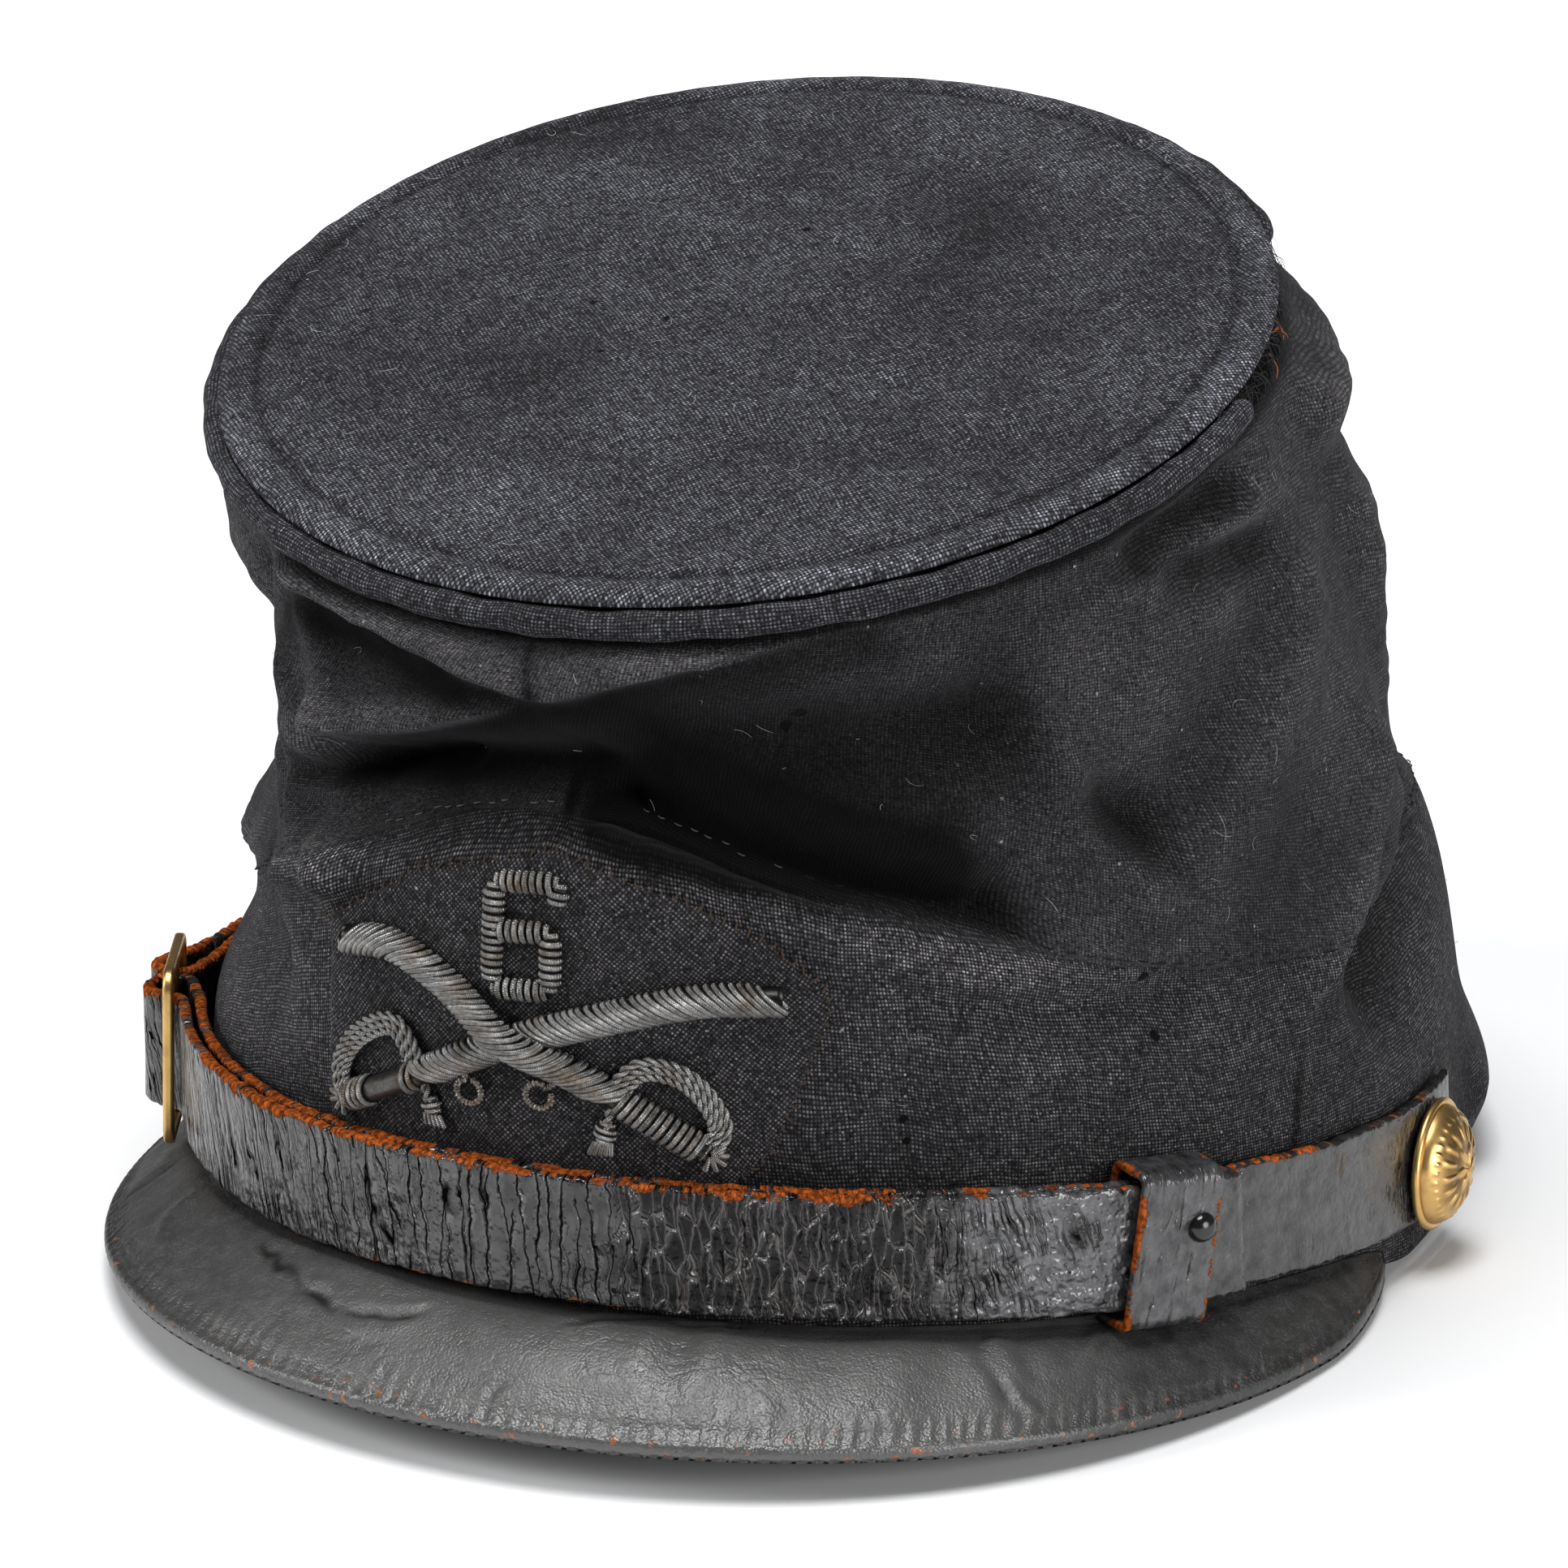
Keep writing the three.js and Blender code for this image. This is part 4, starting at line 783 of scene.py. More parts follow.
# angle, fine cracks, large cracks, gloss, rust on the edges, lean of the cracks, pale painted sheen, raised
# veins
strapWear = np.array([
    (-97, 0.50, 0.40, 0.4, 0.5, 0.2, 0, 0), (-62, 0.55, 0.50, 0.5, 1.0, 0.3, 0, 0),
                      (-22, 0.50, 0.55, 0.6, 1.0, 0.2, 0, 0),
    (-10, 0.40, 0.66, 0.7, 1.0, 0.1, 0, 0), (-2, 0.22, 0.62, 0.5, 1.0, 0, 0, 0),
                      (8, 0.30, 0.62, 0.5, 0.9, 0, 0, 0.1),
    (15, 0.40, 0.40, 0.6, 0.9, 0, 0, 0.8), (32, 0.40, 0.40, 0.75, 0.7, 0, 0.1, 0.8),
                      (36, 0.46, 0.45, 0.9, 0.55, 0, 0.6, 0.35),
    (41, 0.36, 0.34, 1.0, 0.5, 0.3, 0.95, 0), (52, 0.15, 0.24, 0.8, 0.5, 0.2, 0.5, 0),
                      (64, 0.20, 0.24, 0.4, 0.35, 0.2, 0.1, 0),
    (97, 0.25, 0.20, 0.35, 0.3, 0.2, 0, 0),
], float)
wearColumns = dict(fine=1, large=2, gloss=3, rust=4, lean=5, paintedSheen=6, vein=7)


# strap: a rounded flat section carried along the run, its width upright on the band, its edges ragged
def strapSurface(run, step=0.7, seed=1):
    line = spline(np.asarray(run) * [perDegree, 1], 3000) / [perDegree, 1]
    centre = onBand(line[:, 0], stationValue("strapLow", line[:, 0]) + strap["width"] / 2, line[:, 1])
    length = np.r_[0, np.cumsum(np.linalg.norm(np.diff(centre, axis=0), axis=1))]
    at = np.linspace(0, length[-1], int(length[-1] / step))
    angle, stand = np.interp(at, length, line[:, 0]), np.interp(at, length, line[:, 1])
    low = stationValue("strapLow", angle)
    centre = onBand(angle, low + strap["width"] / 2, stand)
    side = unit(onBand(angle, low + strap["width"], stand) - onBand(angle, low, stand))
    out = unit(np.cross(np.gradient(centre, axis=0), side))
    loop = roundedLoop(strap["width"], strap["leather"], 0.55, 4, 20)
    w = loop[:, 0] + strap["ragged"] * smooth(np.abs(loop[:, 0]), 6.5, 8.7) * -np.sign(loop[:, 0]) * np.abs(
        lineNoise(at[:, None], 2.1, seed) + 0.6 * lineNoise(at[:, None], 0.8, seed + 1) + 0 * loop[:, 0])
    h = loop[:, 1] * (1 + 0.10 * lineNoise(at[:, None] + loop[:, 0] * 0.3, 3.0, seed + 2))
    taper = np.minimum(1, np.minimum(at, at[::-1]) / 1.2)[:, None]
    points = sweep(centre, side, out, w, h * (0.35 + 0.65 * taper))
    across = np.r_[loop[:, 0], loop[:1, 0]]
    uv = np.stack([at[:, None] + 0 * across, across + 0 * at[:, None]], -1)
    edge = np.abs(loop[:, 0]) / (strap["width"] / 2) + 0 * at[:, None]
    top = np.sign(loop[:, 0]) + 0 * at[:, None]
    wear = {key: np.interp(angle, strapWear[:, 0], strapWear[:, k])[:, None] + 0 * edge for key,
            k in wearColumns.items()}
    # a patch low on the strap at polishAt: glossier, and given a pale painted highlight in its colour
    polished = np.exp(-(((angle - strap["polishAt"]) / 6) ** 2))[:, None] * smooth(-loop[:, 0], 0.5, 6)
    wear["paintedSheen"] = np.maximum(wear["paintedSheen"], 0.6 * polished)
    wear["gloss"] = np.maximum(wear["gloss"], polished)
    return gridPart(points, closeV=True, uv=uv, caps=True, edge=edge, top=top, **wear)


# lip is a pale colour painted on the crack lips as glints; the pale grey after it is painted sheen
strapLook = dict(black=(0.0055, 0.0054, 0.0058), grey=(0.019, 0.0186, 0.019), lip=(0.090, 0.088, 0.090),
                 paintedSheen=(0.200, 0.202, 0.216),
                 crack=(0.0025, 0.0022, 0.0022), rust=(0.44, 0.100, 0.018), deep=(0.13, 0.032, 0.010),
                 veins=(0.042, 0.036, 0.033), largeCell=(2.6, 22.0), fineCell=(1.2, 12.0),
                 netCell=(1.3, 5.5), rough=0.33, glaze=0.12)


# glazed leather that has cracked across: two sizes of cell drawn out up
# the strap, each with a dark crack and a raised lip, in patches set by
# the wear, the lips painted pale as painted glints where glossy, pale streaks painted on as painted sheen;
# bare rusty hide bites in from the edges, more from the top one
def makeStrapLeather():
    f = Finish("strapLeather")
    uv, place, edge = f.uv(), f.places(), f.value("edge")
    xy = f.add("SeparateXYZ", {0: uv})
    stray = f.add("SeparateXYZ", {0: f.add("TexNoise", {"Vector": uv, "Scale": 0.26, "Detail": 3.0},
                                           output=1)})
    x = f.calc("MULTIPLY_ADD", f.value("lean"), xy.node.outputs[1], f.calc("MULTIPLY_ADD", stray, 2.0, xy))
    y = f.calc("MULTIPLY_ADD", stray.node.outputs[1], 3.5, xy.node.outputs[1])
    patchy = f.noise(uv, 0.14, 3, 0.6)
    dark, lips = 0.0, 0.0
    for key, (long, up) in (("large", strapLook["largeCell"]), ("fine", strapLook["fineCell"])):
        cells = f.add("CombineXYZ", {0: f.calc("DIVIDE", x, long), 1: f.calc("DIVIDE", y, up), 2: long})
        away = f.add("TexVoronoi", {"Vector": cells, "Scale": 1.0}, feature="DISTANCE_TO_EDGE")
        home = f.add("TexVoronoi", {"Vector": cells, "Scale": 1.0}, output=2)
        off = f.add("VectorMath", {0: f.add("VectorMath", {0: cells, 1: home}, operation="SUBTRACT")},
                    operation="ABSOLUTE")
        off = f.add("SeparateXYZ", {0: off})
        upright = f.ramp(f.calc("SUBTRACT", off.node.outputs[1], off), 0.02, 0.22, 1.0, 0.0)
        shown = f.calc("MULTIPLY", f.ramp(f.calc("ADD", patchy, f.value(key)), 0.78, 1.02), upright)
        dark = f.calc("MAXIMUM", dark, f.calc("MULTIPLY", f.ramp(away, 0.025, 0.085, 1.0, 0.0), shown))
        lips = f.calc("MAXIMUM", lips, f.calc("MULTIPLY", f.ramp(away, 0.06, 0.2, 1.0, 0.0), shown))
    worn, grain = f.noise(place, 330, 4, 0.65), f.noise(place, 1500, 3)
    streak = f.noise(f.add("Mapping", {"Vector": uv, "Rotation": (0, 0, 0.5), "Scale": (0.55, 0.3, 1)}),
                     1.0, 5, 0.7)
    colour = f.mix(f.ramp(worn, 0.42, 0.72), strapLook["black"], strapLook["grey"])
    # pale streaks painted where the leather shows glossy reflections: painted sheen
    colour = f.mix(f.calc("MULTIPLY", f.value("paintedSheen"), f.ramp(streak, 0.36, 0.74)), colour,
                   strapLook["paintedSheen"])
    # painted glints: the raised lips coloured pale, more where glossy
    colour = f.mix(f.calc("MULTIPLY", lips, f.ramp(f.value("gloss"), 0.4, 1.0, 0.35, 0.75)), colour,
                   strapLook["lip"])
    long, up = strapLook["netCell"]
    net = f.add("CombineXYZ", {0: f.calc("DIVIDE", x, long), 1: f.calc("DIVIDE", y, up), 2: long})
    net = f.add("TexVoronoi", {"Vector": net, "Scale": 1.0}, feature="DISTANCE_TO_EDGE")
    inVein = f.ramp(f.calc("ADD", patchy, f.value("vein")), 0.7, 1.0)
    ridge = f.calc("MULTIPLY", f.ramp(net, 0.03, 0.09, 1.0, 0.0), inVein)
    sunk = f.calc("MULTIPLY", inVein, f.ramp(net, 0.05, 0.16))
    colour = f.mix(f.calc("MAXIMUM", dark, f.calc("MULTIPLY", sunk, 0.8)), colour, strapLook["crack"])
    colour = f.mix(ridge, colour, strapLook["veins"])
    bite = f.calc("MULTIPLY_ADD", f.calc("SUBTRACT", f.noise(uv, 0.2, 2), 0.5), 0.62,
                  f.calc("MULTIPLY", f.calc("SUBTRACT", f.noise(uv, 1.1, 4, 0.6), 0.5), 0.4))
    bite = f.calc("ADD", bite, f.calc("MULTIPLY_ADD", f.value("rust"), 0.15,
                                      f.ramp(f.value("top"), -1.0, 1.0, -0.23, -0.13)))
    bare = f.ramp(f.calc("ADD", edge, bite), 0.955, 0.985)
    colour = f.mix(bare, colour, f.mix(f.ramp(grain, 0.38, 0.6), strapLook["rust"], strapLook["deep"]))
    rough = f.calc("MULTIPLY_ADD", f.calc("SUBTRACT", worn, 0.5), 0.5,
                   f.ramp(f.value("gloss"), 0.0, 1.0, strapLook["rough"], strapLook["glaze"]))
    rough = f.calc("MAXIMUM", f.calc("MULTIPLY_ADD", bare, 0.5, rough), 0.08)
    height = f.calc("MULTIPLY_ADD", dark, -2.2, f.calc("MULTIPLY_ADD", lips, 1.1,
                                                       f.calc("MULTIPLY", grain, 0.4)))
    height = f.calc("MULTIPLY_ADD", f.noise(uv, 0.4, 2), f.ramp(f.value("gloss"), 0.4, 1.0, 1.4, 6.0),
                    f.calc("MULTIPLY_ADD", bare, -0.8, f.calc("MULTIPLY_ADD", ridge, 2.0, height)))
    bump = f.add("Bump", {"Strength": 1.0, "Distance": 0.24 * mm, "Height": height})
    shade = f.calc("MAXIMUM", dark, f.calc("MULTIPLY", sunk, 0.75))
    shine = f.calc("MULTIPLY", f.calc("SUBTRACT", 1.0, shade),
                   f.calc("MULTIPLY_ADD", lips, 0.35, f.ramp(worn, 0.3, 0.6, 0.5, 1.0)))
    return f.finish(Base_Color=colour, Roughness=rough, Normal=bump,
                    Specular_IOR_Level=f.calc("MULTIPLY", shine, f.calc("SUBTRACT", 1.0, bare)))


strapLeather = makeStrapLeather()
makePiece("strap_long_leather", [strapSurface(longRun, seed=1)], strapLeather,
          ["strap_long"])
makePiece("strap_short_leather", [strapSurface(shortRun, seed=7)], strapLeather,
          ["strap_short"])


# a frame against the strap: its place, and the directions along, up and out
def strapFrame(angle, stand, drop=0.0):
    middle = lambda turn, up=0.0: onBand(np.float64(turn), stationValue("strapLow", turn) + strap["width"]
                                         / 2 - drop + up, stand)
    along = unit(middle(angle + 1) - middle(angle - 1))
    out = unit(np.cross(along, middle(angle, strap["width"] / 2 + drop)
                        - middle(angle, drop - strap["width"] / 2)))
    return middle(angle), along, np.cross(out, along), out


# points given along, up and out of a strap frame, in the cap's frame
def placed(place, x, y, z):
    origin, along, up, out = place
    return origin + x[..., None] * along + y[..., None] * up + z[..., None] * out


# a ring of rounded-rectangle outline with a rounded-rectangle
# section: half the section's depth out along the outline's normal
def ringPart(place, width, height, corner, sectionWide, sectionDeep, sectionCorner, upright):
    outline = evenly(np.concatenate([roundedLoop(width, height, corner, 8, 30)] * 2), 2400)
    outline = outline[: len(outline) // 2]
    outline = evenly(np.concatenate([outline, outline[:1]]), 181)[:-1]
    tangent = unit(np.roll(outline, -1, axis=0) - np.roll(outline, 1, axis=0))
    normal = np.stack([tangent[:, 1], -tangent[:, 0]], -1)
    section = roundedLoop(sectionWide, sectionDeep, sectionCorner, 4, 12)
    a = outline[:, None] + normal[:, None] * section[None, :, 1:]
    b = section[None, :, 0] + 0 * a[..., 0]
    x, y, z = (b, a[..., 0], a[..., 1]) if upright else (a[..., 0], a[..., 1], b)
    points = placed(place, x, y, z)
    length = np.linspace(0, 2 * (width + height), len(outline) + 1)[:, None]
    uv = np.stack([length + 0 * np.r_[section[:, 0], 0], np.r_[section[:, 0], section[:1, 0]] + 0 * length],
                  -1)
    edge = np.abs(section[:, 0]) / (sectionWide / 2) + 0 * outline[:, :1]
    return points, uv, edge


keeper = dict(angle=54.2, length=12.5, leather=1.2, slack=0.85, layers=3.6, stand=4.2)
place = strapFrame(keeper["angle"], keeper["stand"])
points, uv, edge = ringPart(place, strap["width"] + 2 * keeper["slack"] + keeper["leather"],
                            keeper["layers"] + 2 * keeper["slack"] + keeper["leather"], 1.3,
                            keeper["length"], keeper["leather"], 0.4, True)
keeperColumns = dict(fine=0.10, large=0.34, gloss=0.45, rust=0.9, lean=0, paintedSheen=0.35, vein=0, top=1)
keeperWear = {key: value + 0 * edge for key, value in keeperColumns.items()}
makePiece("keeper_leather", [gridPart(points, closeU=True, closeV=True, uv=uv[..., ::-1], edge=edge,
                                      **keeperWear)],
          strapLeather, ["keeper"])

stud = dict(radius=2, height=1.6, alongStrap=3.5, upStrap=3)


# the keeper's stud: a dome, sine of the turn times its height over cosine times its radius
def studPart():
    turn, around = np.linspace(0, math.pi / 2, 12), np.linspace(0, 2 * math.pi, 32, endpoint=False)
    reach, level = stud["radius"] * np.cos(turn) + 0.02, stud["height"] * np.sin(turn)
    face = keeper["layers"] / 2 + keeper["slack"] + keeper["leather"]
    x = stud["alongStrap"] + reach * np.cos(around[:, None])
    y = stud["upStrap"] + reach * np.sin(around[:, None])
    return gridPart(placed(strapFrame(keeper["angle"], keeper["stand"]), x, y, face + level + 0 * x),
                    closeU=True)


# black varnish over metal, slightly hazed
def makeJapan():
    f = Finish("blackJapan")
    haze = f.noise(f.places(), 700, 3)
    return f.finish(Base_Color=(0.006, 0.006, 0.0065, 1), Roughness=f.ramp(haze, 0.3, 0.7, 0.10, 0.24),
                    Specular_IOR_Level=0.6)


makePiece("stud_black", [studPart()], makeJapan(), ["keeper_stud"])

brassLook = dict(bright=(0.66, 0.42, 0.155), dull=(0.17, 0.095, 0.035))


# old brass: bright on the high places, brown where the relief is low, clouded by noise
def makeBrass():
    f = Finish("oldBrass")
    place = f.places()
    cloud = f.noise(place, 300, 4, 0.6)
    dull = f.calc("ADD", f.value("hollow"), f.ramp(cloud, 0.5, 0.8, 0.0, 0.5))
    colour = f.mix(dull, brassLook["bright"], brassLook["dull"])
    rough = f.ramp(cloud, 0.3, 0.7, 0.28, 0.46)
    bump = f.add("Bump", {"Strength": 0.3, "Distance": 0.05 * mm, "Height": f.noise(place, 900, 3)})
    return f.finish(Base_Color=colour, Metallic=1.0, Roughness=rough, Normal=bump)


brass = makeBrass()
buckle = dict(angle=-61, stand=5.7, length=22.4, height=24.8, bar=2, metal=1.5, corner=3)
place = strapFrame(buckle["angle"], buckle["stand"])
points, uv, edge = ringPart(place, buckle["length"] - buckle["bar"], buckle["height"] - buckle["bar"],
                            buckle["corner"] - 1,
                            buckle["metal"], buckle["bar"], 0.45, False)
parts = [gridPart(points, closeU=True, closeV=True, uv=uv, hollow=0 * edge)]
rodTurn = np.linspace(0, 2 * math.pi, 16, endpoint=False)
rodUp = np.linspace(-0.5, 0.5, 24) * (buckle["height"] - buckle["bar"])
rod = placed(place, 0.95 * np.cos(rodTurn) + 0 * rodUp[:, None], rodUp[:, None] + 0 * rodTurn,
             0.68 * np.sin(rodTurn) + 0 * rodUp[:, None])
parts.append(gridPart(rod[:, ::-1], closeV=True, caps=True, hollow=np.zeros(rod.shape[:2])))
makePiece("buckle_brass", parts, brass, ["buckle"])

button = dict(radius=9, dome=5, lip=1.2, angle=91, drop=1.5, petals=6, leaves=16, relief=0.34)


# a domed button: rolled lip, quarter-oval dome, and a raised rosette of petals round a boss
def buttonPart(side):
    r = button["radius"]
    turn = np.linspace(0, math.pi / 2, 70)
    lipTurn = np.linspace(-math.pi / 2, math.pi / 2, 9)
    radius = np.r_[r - 1.5, r - 0.6 + 0.6 * np.cos(lipTurn), (r - 0.9) * np.cos(turn)]
    level = np.r_[0.0, 0.6 + 0.6 * np.sin(lipTurn), button["lip"] - 0.3
                  + (button["dome"] - button["lip"] + 0.3) * np.sin(turn)]
    radius[-1] = 0.05
    a, k = np.meshgrid(np.linspace(0, 2 * math.pi, 260, endpoint=False), np.arange(len(radius)),
                       indexing="ij")
    rr = radius[k] / r
    petal = np.clip(1.6 * np.cos(button["petals"] * a / 2) ** 2 - 7 * np.abs(rr - 0.2), 0, 0.7)
    leaves = 0.8 * np.clip(np.cos(button["leaves"] * a), 0, 1) ** 0.7 * np.exp(-(((rr - 0.54) / 0.13) ** 4))
    beads = 0.6 * np.clip(np.cos(a * 34), 0, 1) * np.exp(-((rr - 0.78) / 0.035) ** 2)
    boss = 0.5 * np.exp(-(rr / 0.07) ** 2)
    raised = petal + leaves + beads + boss
    points = placed(strapFrame(side * button["angle"], 1.4 + strap["leather"] / 2 + gap, button["drop"]),
                    radius[k] * np.cos(a), radius[k] * np.sin(a),
                    level[k] + button["relief"] * raised * (level[k] > 1.2))
    hollow = np.clip(0.8 - 1.2 * raised, 0, 1) * np.exp(-((rr - 0.42) / 0.27) ** 4)
    return gridPart(points, closeU=True, hollow=hollow)


for side, name in ((1, "left"), (-1, "right")):
    makePiece("button_" + name + "_brass", [buttonPart(side)], brass, ["button_" + name])
print("leather and brass done")

# patch and embroidery

patch = dict(cloth=1, stand=0.75, shift=2.2, lift=1.9)
patchEdges = np.array([(-31, 33, 60), (-16, 27, 70), (3, 24, 75), (20, 28, 70), (30, 38, 65),
                       (37, 55.5, 58.5)], float)  # across, low, high
cloth = patch["stand"] + patch["cloth"]


# patch: straight between its low and high edges, lying on the band
def patchSurface(columns=120, rows=90):
    across, share = np.meshgrid(np.linspace(patchEdges[0, 0], patchEdges[-1, 0], columns),
                                np.linspace(0, 1, rows), indexing="ij")
    low, high = (np.interp(across, patchEdges[:, 0], patchEdges[:, k]) for k in (1, 2))
    height = low + (high - low) * share
    fromEdge = np.minimum(np.minimum(share, 1 - share) * (high - low),
                          np.minimum(across - across[0, 0], across[-1, -1] - across))
    points = onBand((across + patch["shift"]) / perDegree, height + patch["lift"],
                    cloth - 0.35 * np.exp(-fromEdge / 0.8) + 0.12 * crumple(across * 3, height * 2))
    return gridPart(points, uv=np.stack([across, height], -1), worn=0.3 * np.exp(-fromEdge / 1.2),
                    hollow=0 * across)


patchWool = makeWool("patchTwill", dict(woolLook, pale=(0.108, 0.102, 0.108), pitch=0.47, turn=0.7,
                                        fadeHigh=1.3))
thicken(makePiece("patch_cloth", [patchSurface()], patchWool, ["patch"]), patch["cloth"])

bullion = dict(padding=2.2, bladeWidth=3.8, gripWidth=3.6, numeralWidth=2.5)
sabreOver = dict(
    blade=[(-27, 58.6), (-18, 59.4), (-1.4, 51.2), (12, 44)], grip=[(11, 44.6), (22.5, 37.6)],
    guard=[(10.5, 43.6), (14.6, 48.4), (20, 47.4), (23.8, 41.5), (22.6, 38)],
                 knot=[(11, 43.5), (9.4, 36.6)],
    ring=[(6.4, 48.6), (2.1, 43.8)], slant=1.3, bare=(9, 9), lift=3)
sabreUnder = dict(
    blade=[(31.7, 58), (21, 57.6), (-1.4, 50.3), (-15, 43)], grip=[(-14, 43.4), (-27, 36.8)],
    guard=[(-14.6, 44), (-18.4, 49), (-24.4, 46), (-27.4, 41), (-27, 37.4)],
                  knot=[(-14, 42.6), (-12.4, 36.8)],
    ring=[(-8.8, 48.5), (-7.1, 42.8)], slant=-1.2, bare=(2.6, 9.5), lift=0)
numeralBars = [
    ((-4, 70.6), (-4.4, 57.4)), ((-4, 70.9), (4.6, 71.5)), ((4.6, 71.5), (4.2, 68.4)),
    ((-4.2, 64.4), (3.5, 65.1)), ((3.5, 65.1), (3.4, 57.4)), ((-4.4, 56.8), (3.4, 57.4)),
]


# a line of places on the band as points with the side, outward and along directions there
def onPatch(places, count, stand):
    flat = spline(places, count)
    angle = (flat[:, 0] + patch["shift"]) / perDegree
    point = onBand(angle, flat[:, 1] + patch["lift"], stand(flat))
    along = unit(np.gradient(point, axis=0))
    side = unit(np.cross(outward(angle), along))
    length = np.r_[0, np.cumsum(np.linalg.norm(np.diff(point, axis=0), axis=1))]
    return point, side, unit(np.cross(along, side)), length


# centre, side and outward direction of a run at lengths along it
def pick(run, s):
    at = run[3]
    return tuple(np.stack([np.interp(s, at, v[:, k]) for k in range(3)], -1) for v in run[:3])


# round strands along many lines at once: a ring across each point of each line, pinched at the ends
def tubes(lines, radius, up, sides=7, tones=None, **marks):
    n, m = lines.shape[:2]
    along = unit(np.gradient(lines, axis=1))
    side = unit(np.cross(up, along))
    top = np.cross(along, side)
    turn = np.linspace(0, 2 * math.pi, sides, endpoint=False)
    near = np.minimum(np.arange(m), np.arange(m)[::-1])
    r = np.broadcast_to(radius, (n, m)) * np.where(near == 0, 0.55, 1)
    ring = lines[:, :, None] + r[..., None, None] * (side[:, :, None] * np.cos(turn)[:, None]
                                                     + top[:, :, None] * np.sin(turn)[:, None])
    steps = np.linalg.norm(np.diff(lines, axis=1), axis=-1)
    length = np.concatenate([np.zeros((n, 1)), np.cumsum(steps, axis=1)], axis=1)
    tones = np.ones(n) if tones is None else tones
    parts = []
    for k in range(n):
        uv = np.stack([length[k][:, None] + 0 * np.r_[turn, 0],
                       np.r_[turn, 2 * math.pi] + 0 * length[k][:, None]], -1)
        # groove: painted shade, dark on the underside and flanks of each strand, light along its top
        low = np.clip(0.62 - 0.95 * np.sin(turn), 0, 1) + 0 * length[k][:, None]
        values = {key: np.full((m, sides), value[k] if np.ndim(value) else value) for key,
                  value in marks.items()}
        parts.append(gridPart(ring[k], closeV=True, caps=True, uv=uv, groove=low,
                              tone=np.full((m, sides), tones[k]), **values))
    return parts


# wire laid over padding: strands across a run, each an
# arch of the padding's half-oval, drawn along by the slant
def wrapStrands(places, width, height, stand, pitch, slant, seed, rough=(0.0,), bare=(9, 9), steps=13):
    run = onPatch(places, 240, stand)
    length, chance = run[3][-1], np.random.default_rng(seed)
    start = np.arange(pitch * 0.4, length - pitch * 0.3, pitch)
    start = start + chance.normal(0, 0.05 * pitch, len(start))
    kept = (start < bare[0]) | (start > bare[1])
    near = np.minimum(start, length - start)[:, None]
    size = np.sqrt(np.clip(near / (0.5 * width), 0.35, 1))
    turn = np.linspace(-1, 1, steps) * math.pi / 2 * 1.05
    lean = slant * (1 + chance.normal(0, 0.06, len(start)))[:, None]
    across = np.sin(turn) * width / 2 * size
    centre, side, out = pick(run, np.clip(start[:, None] + lean * across, 0, length))
    lines = centre + side * across[..., None] + out * (np.cos(turn) * height * size + 0.1)[..., None]
    up = side * np.sin(turn)[None, :, None] + out * np.cos(turn)[None, :, None]
    kinds = np.resize(np.asarray(rough, float), len(start))
    tones = chance.uniform(0.7, 1.25, len(start))
    strands = tubes(lines[kept], pitch * 0.45, up[kept], tones=tones[kept], rough=kinds[kept])
    s = np.linspace(0.3, length - 0.3, 60)
    centre, side, out = pick(run, s)
    arch = np.linspace(0, math.pi, 12)
    core = sweep(centre, side, out, 0.44 * width * np.cos(arch) + 0 * s[:, None],
                 0.88 * height * np.sin(arch) + 0 * s[:, None])
    # the padding between the strands is painted dark as painted shade, less on the grips
    dark = np.full(core.shape[:2], 0.5 if bare[1] > bare[0] else 0.9)
    return strands + [gridPart(core, closeV=True, caps=True, groove=dark, tone=0 * dark + 0.8,
                               rough=0 * dark)]


# a cord of two strands: each a helix about a line beside the run
def twistPair(places, stand, offset=0.0, radius=0.37, pitch=2.7, part=(0.0, 1.0), seed=3):
    run = onPatch(places, 240, stand)
    length = run[3][-1]
    s = np.linspace(part[0] * length, part[1] * length, max(12, int((part[1] - part[0]) * length / 0.17)))
    centre, side, out = pick(run, s)
    phase = 2 * math.pi * s / pitch + np.array([[0], [math.pi]]) + offset
    across = (offset + 0.34 * np.cos(phase))[..., None]
    above = (radius + 0.25 + 0.3 * np.sin(phase))[..., None]
    lines = centre + side * across + out * above
    tones = np.random.default_rng(seed).uniform(0.75, 1.15, 2)
    return tubes(lines, radius, out + 0 * lines, tones=tones, rough=0.0)


# crinkled wire along a run: a tube whose radius rises and falls quickly
def purlWire(places, stand, radius=0.52, crimp=0.55):
    run = onPatch(places, 300, stand)
    length = run[3][-1]
    s = np.linspace(0, length, int(length / 0.09))
    centre, side, out = pick(run, s)
    r = radius * (1 + 0.2 * np.sin(2 * math.pi * s / crimp))
    return tubes((centre + out * radius)[None], r[None], out[None], rough=1.0)


# tassel: a short cord, a knot of wires across it and strands that spread below
def tasselParts(start, end, stand, seed):
    line = np.array([start, end], float)
    at = lambda k: tuple(line[0] + (line[1] - line[0]) * k)
    parts = twistPair([at(0), at(0.5)], stand, seed=seed)
    parts = parts + wrapStrands([at(0.36), at(0.8)], 2.9, 1.1, stand, 0.8, 0.0, seed)
    for k in np.linspace(-1, 1, 5):
        spread = np.array([k * 1.0, 0.0])
        ends = [tuple(np.array(at(0.74)) + spread), tuple(np.array(at(1.02)) + 1.35 * spread)]
        run = onPatch(ends, 12, stand)
        parts += tubes((run[0] + run[2] * 0.6)[None], 0.4, run[2][None], tones=[0.9 + 0.15 * k], rough=0.0)
    return parts


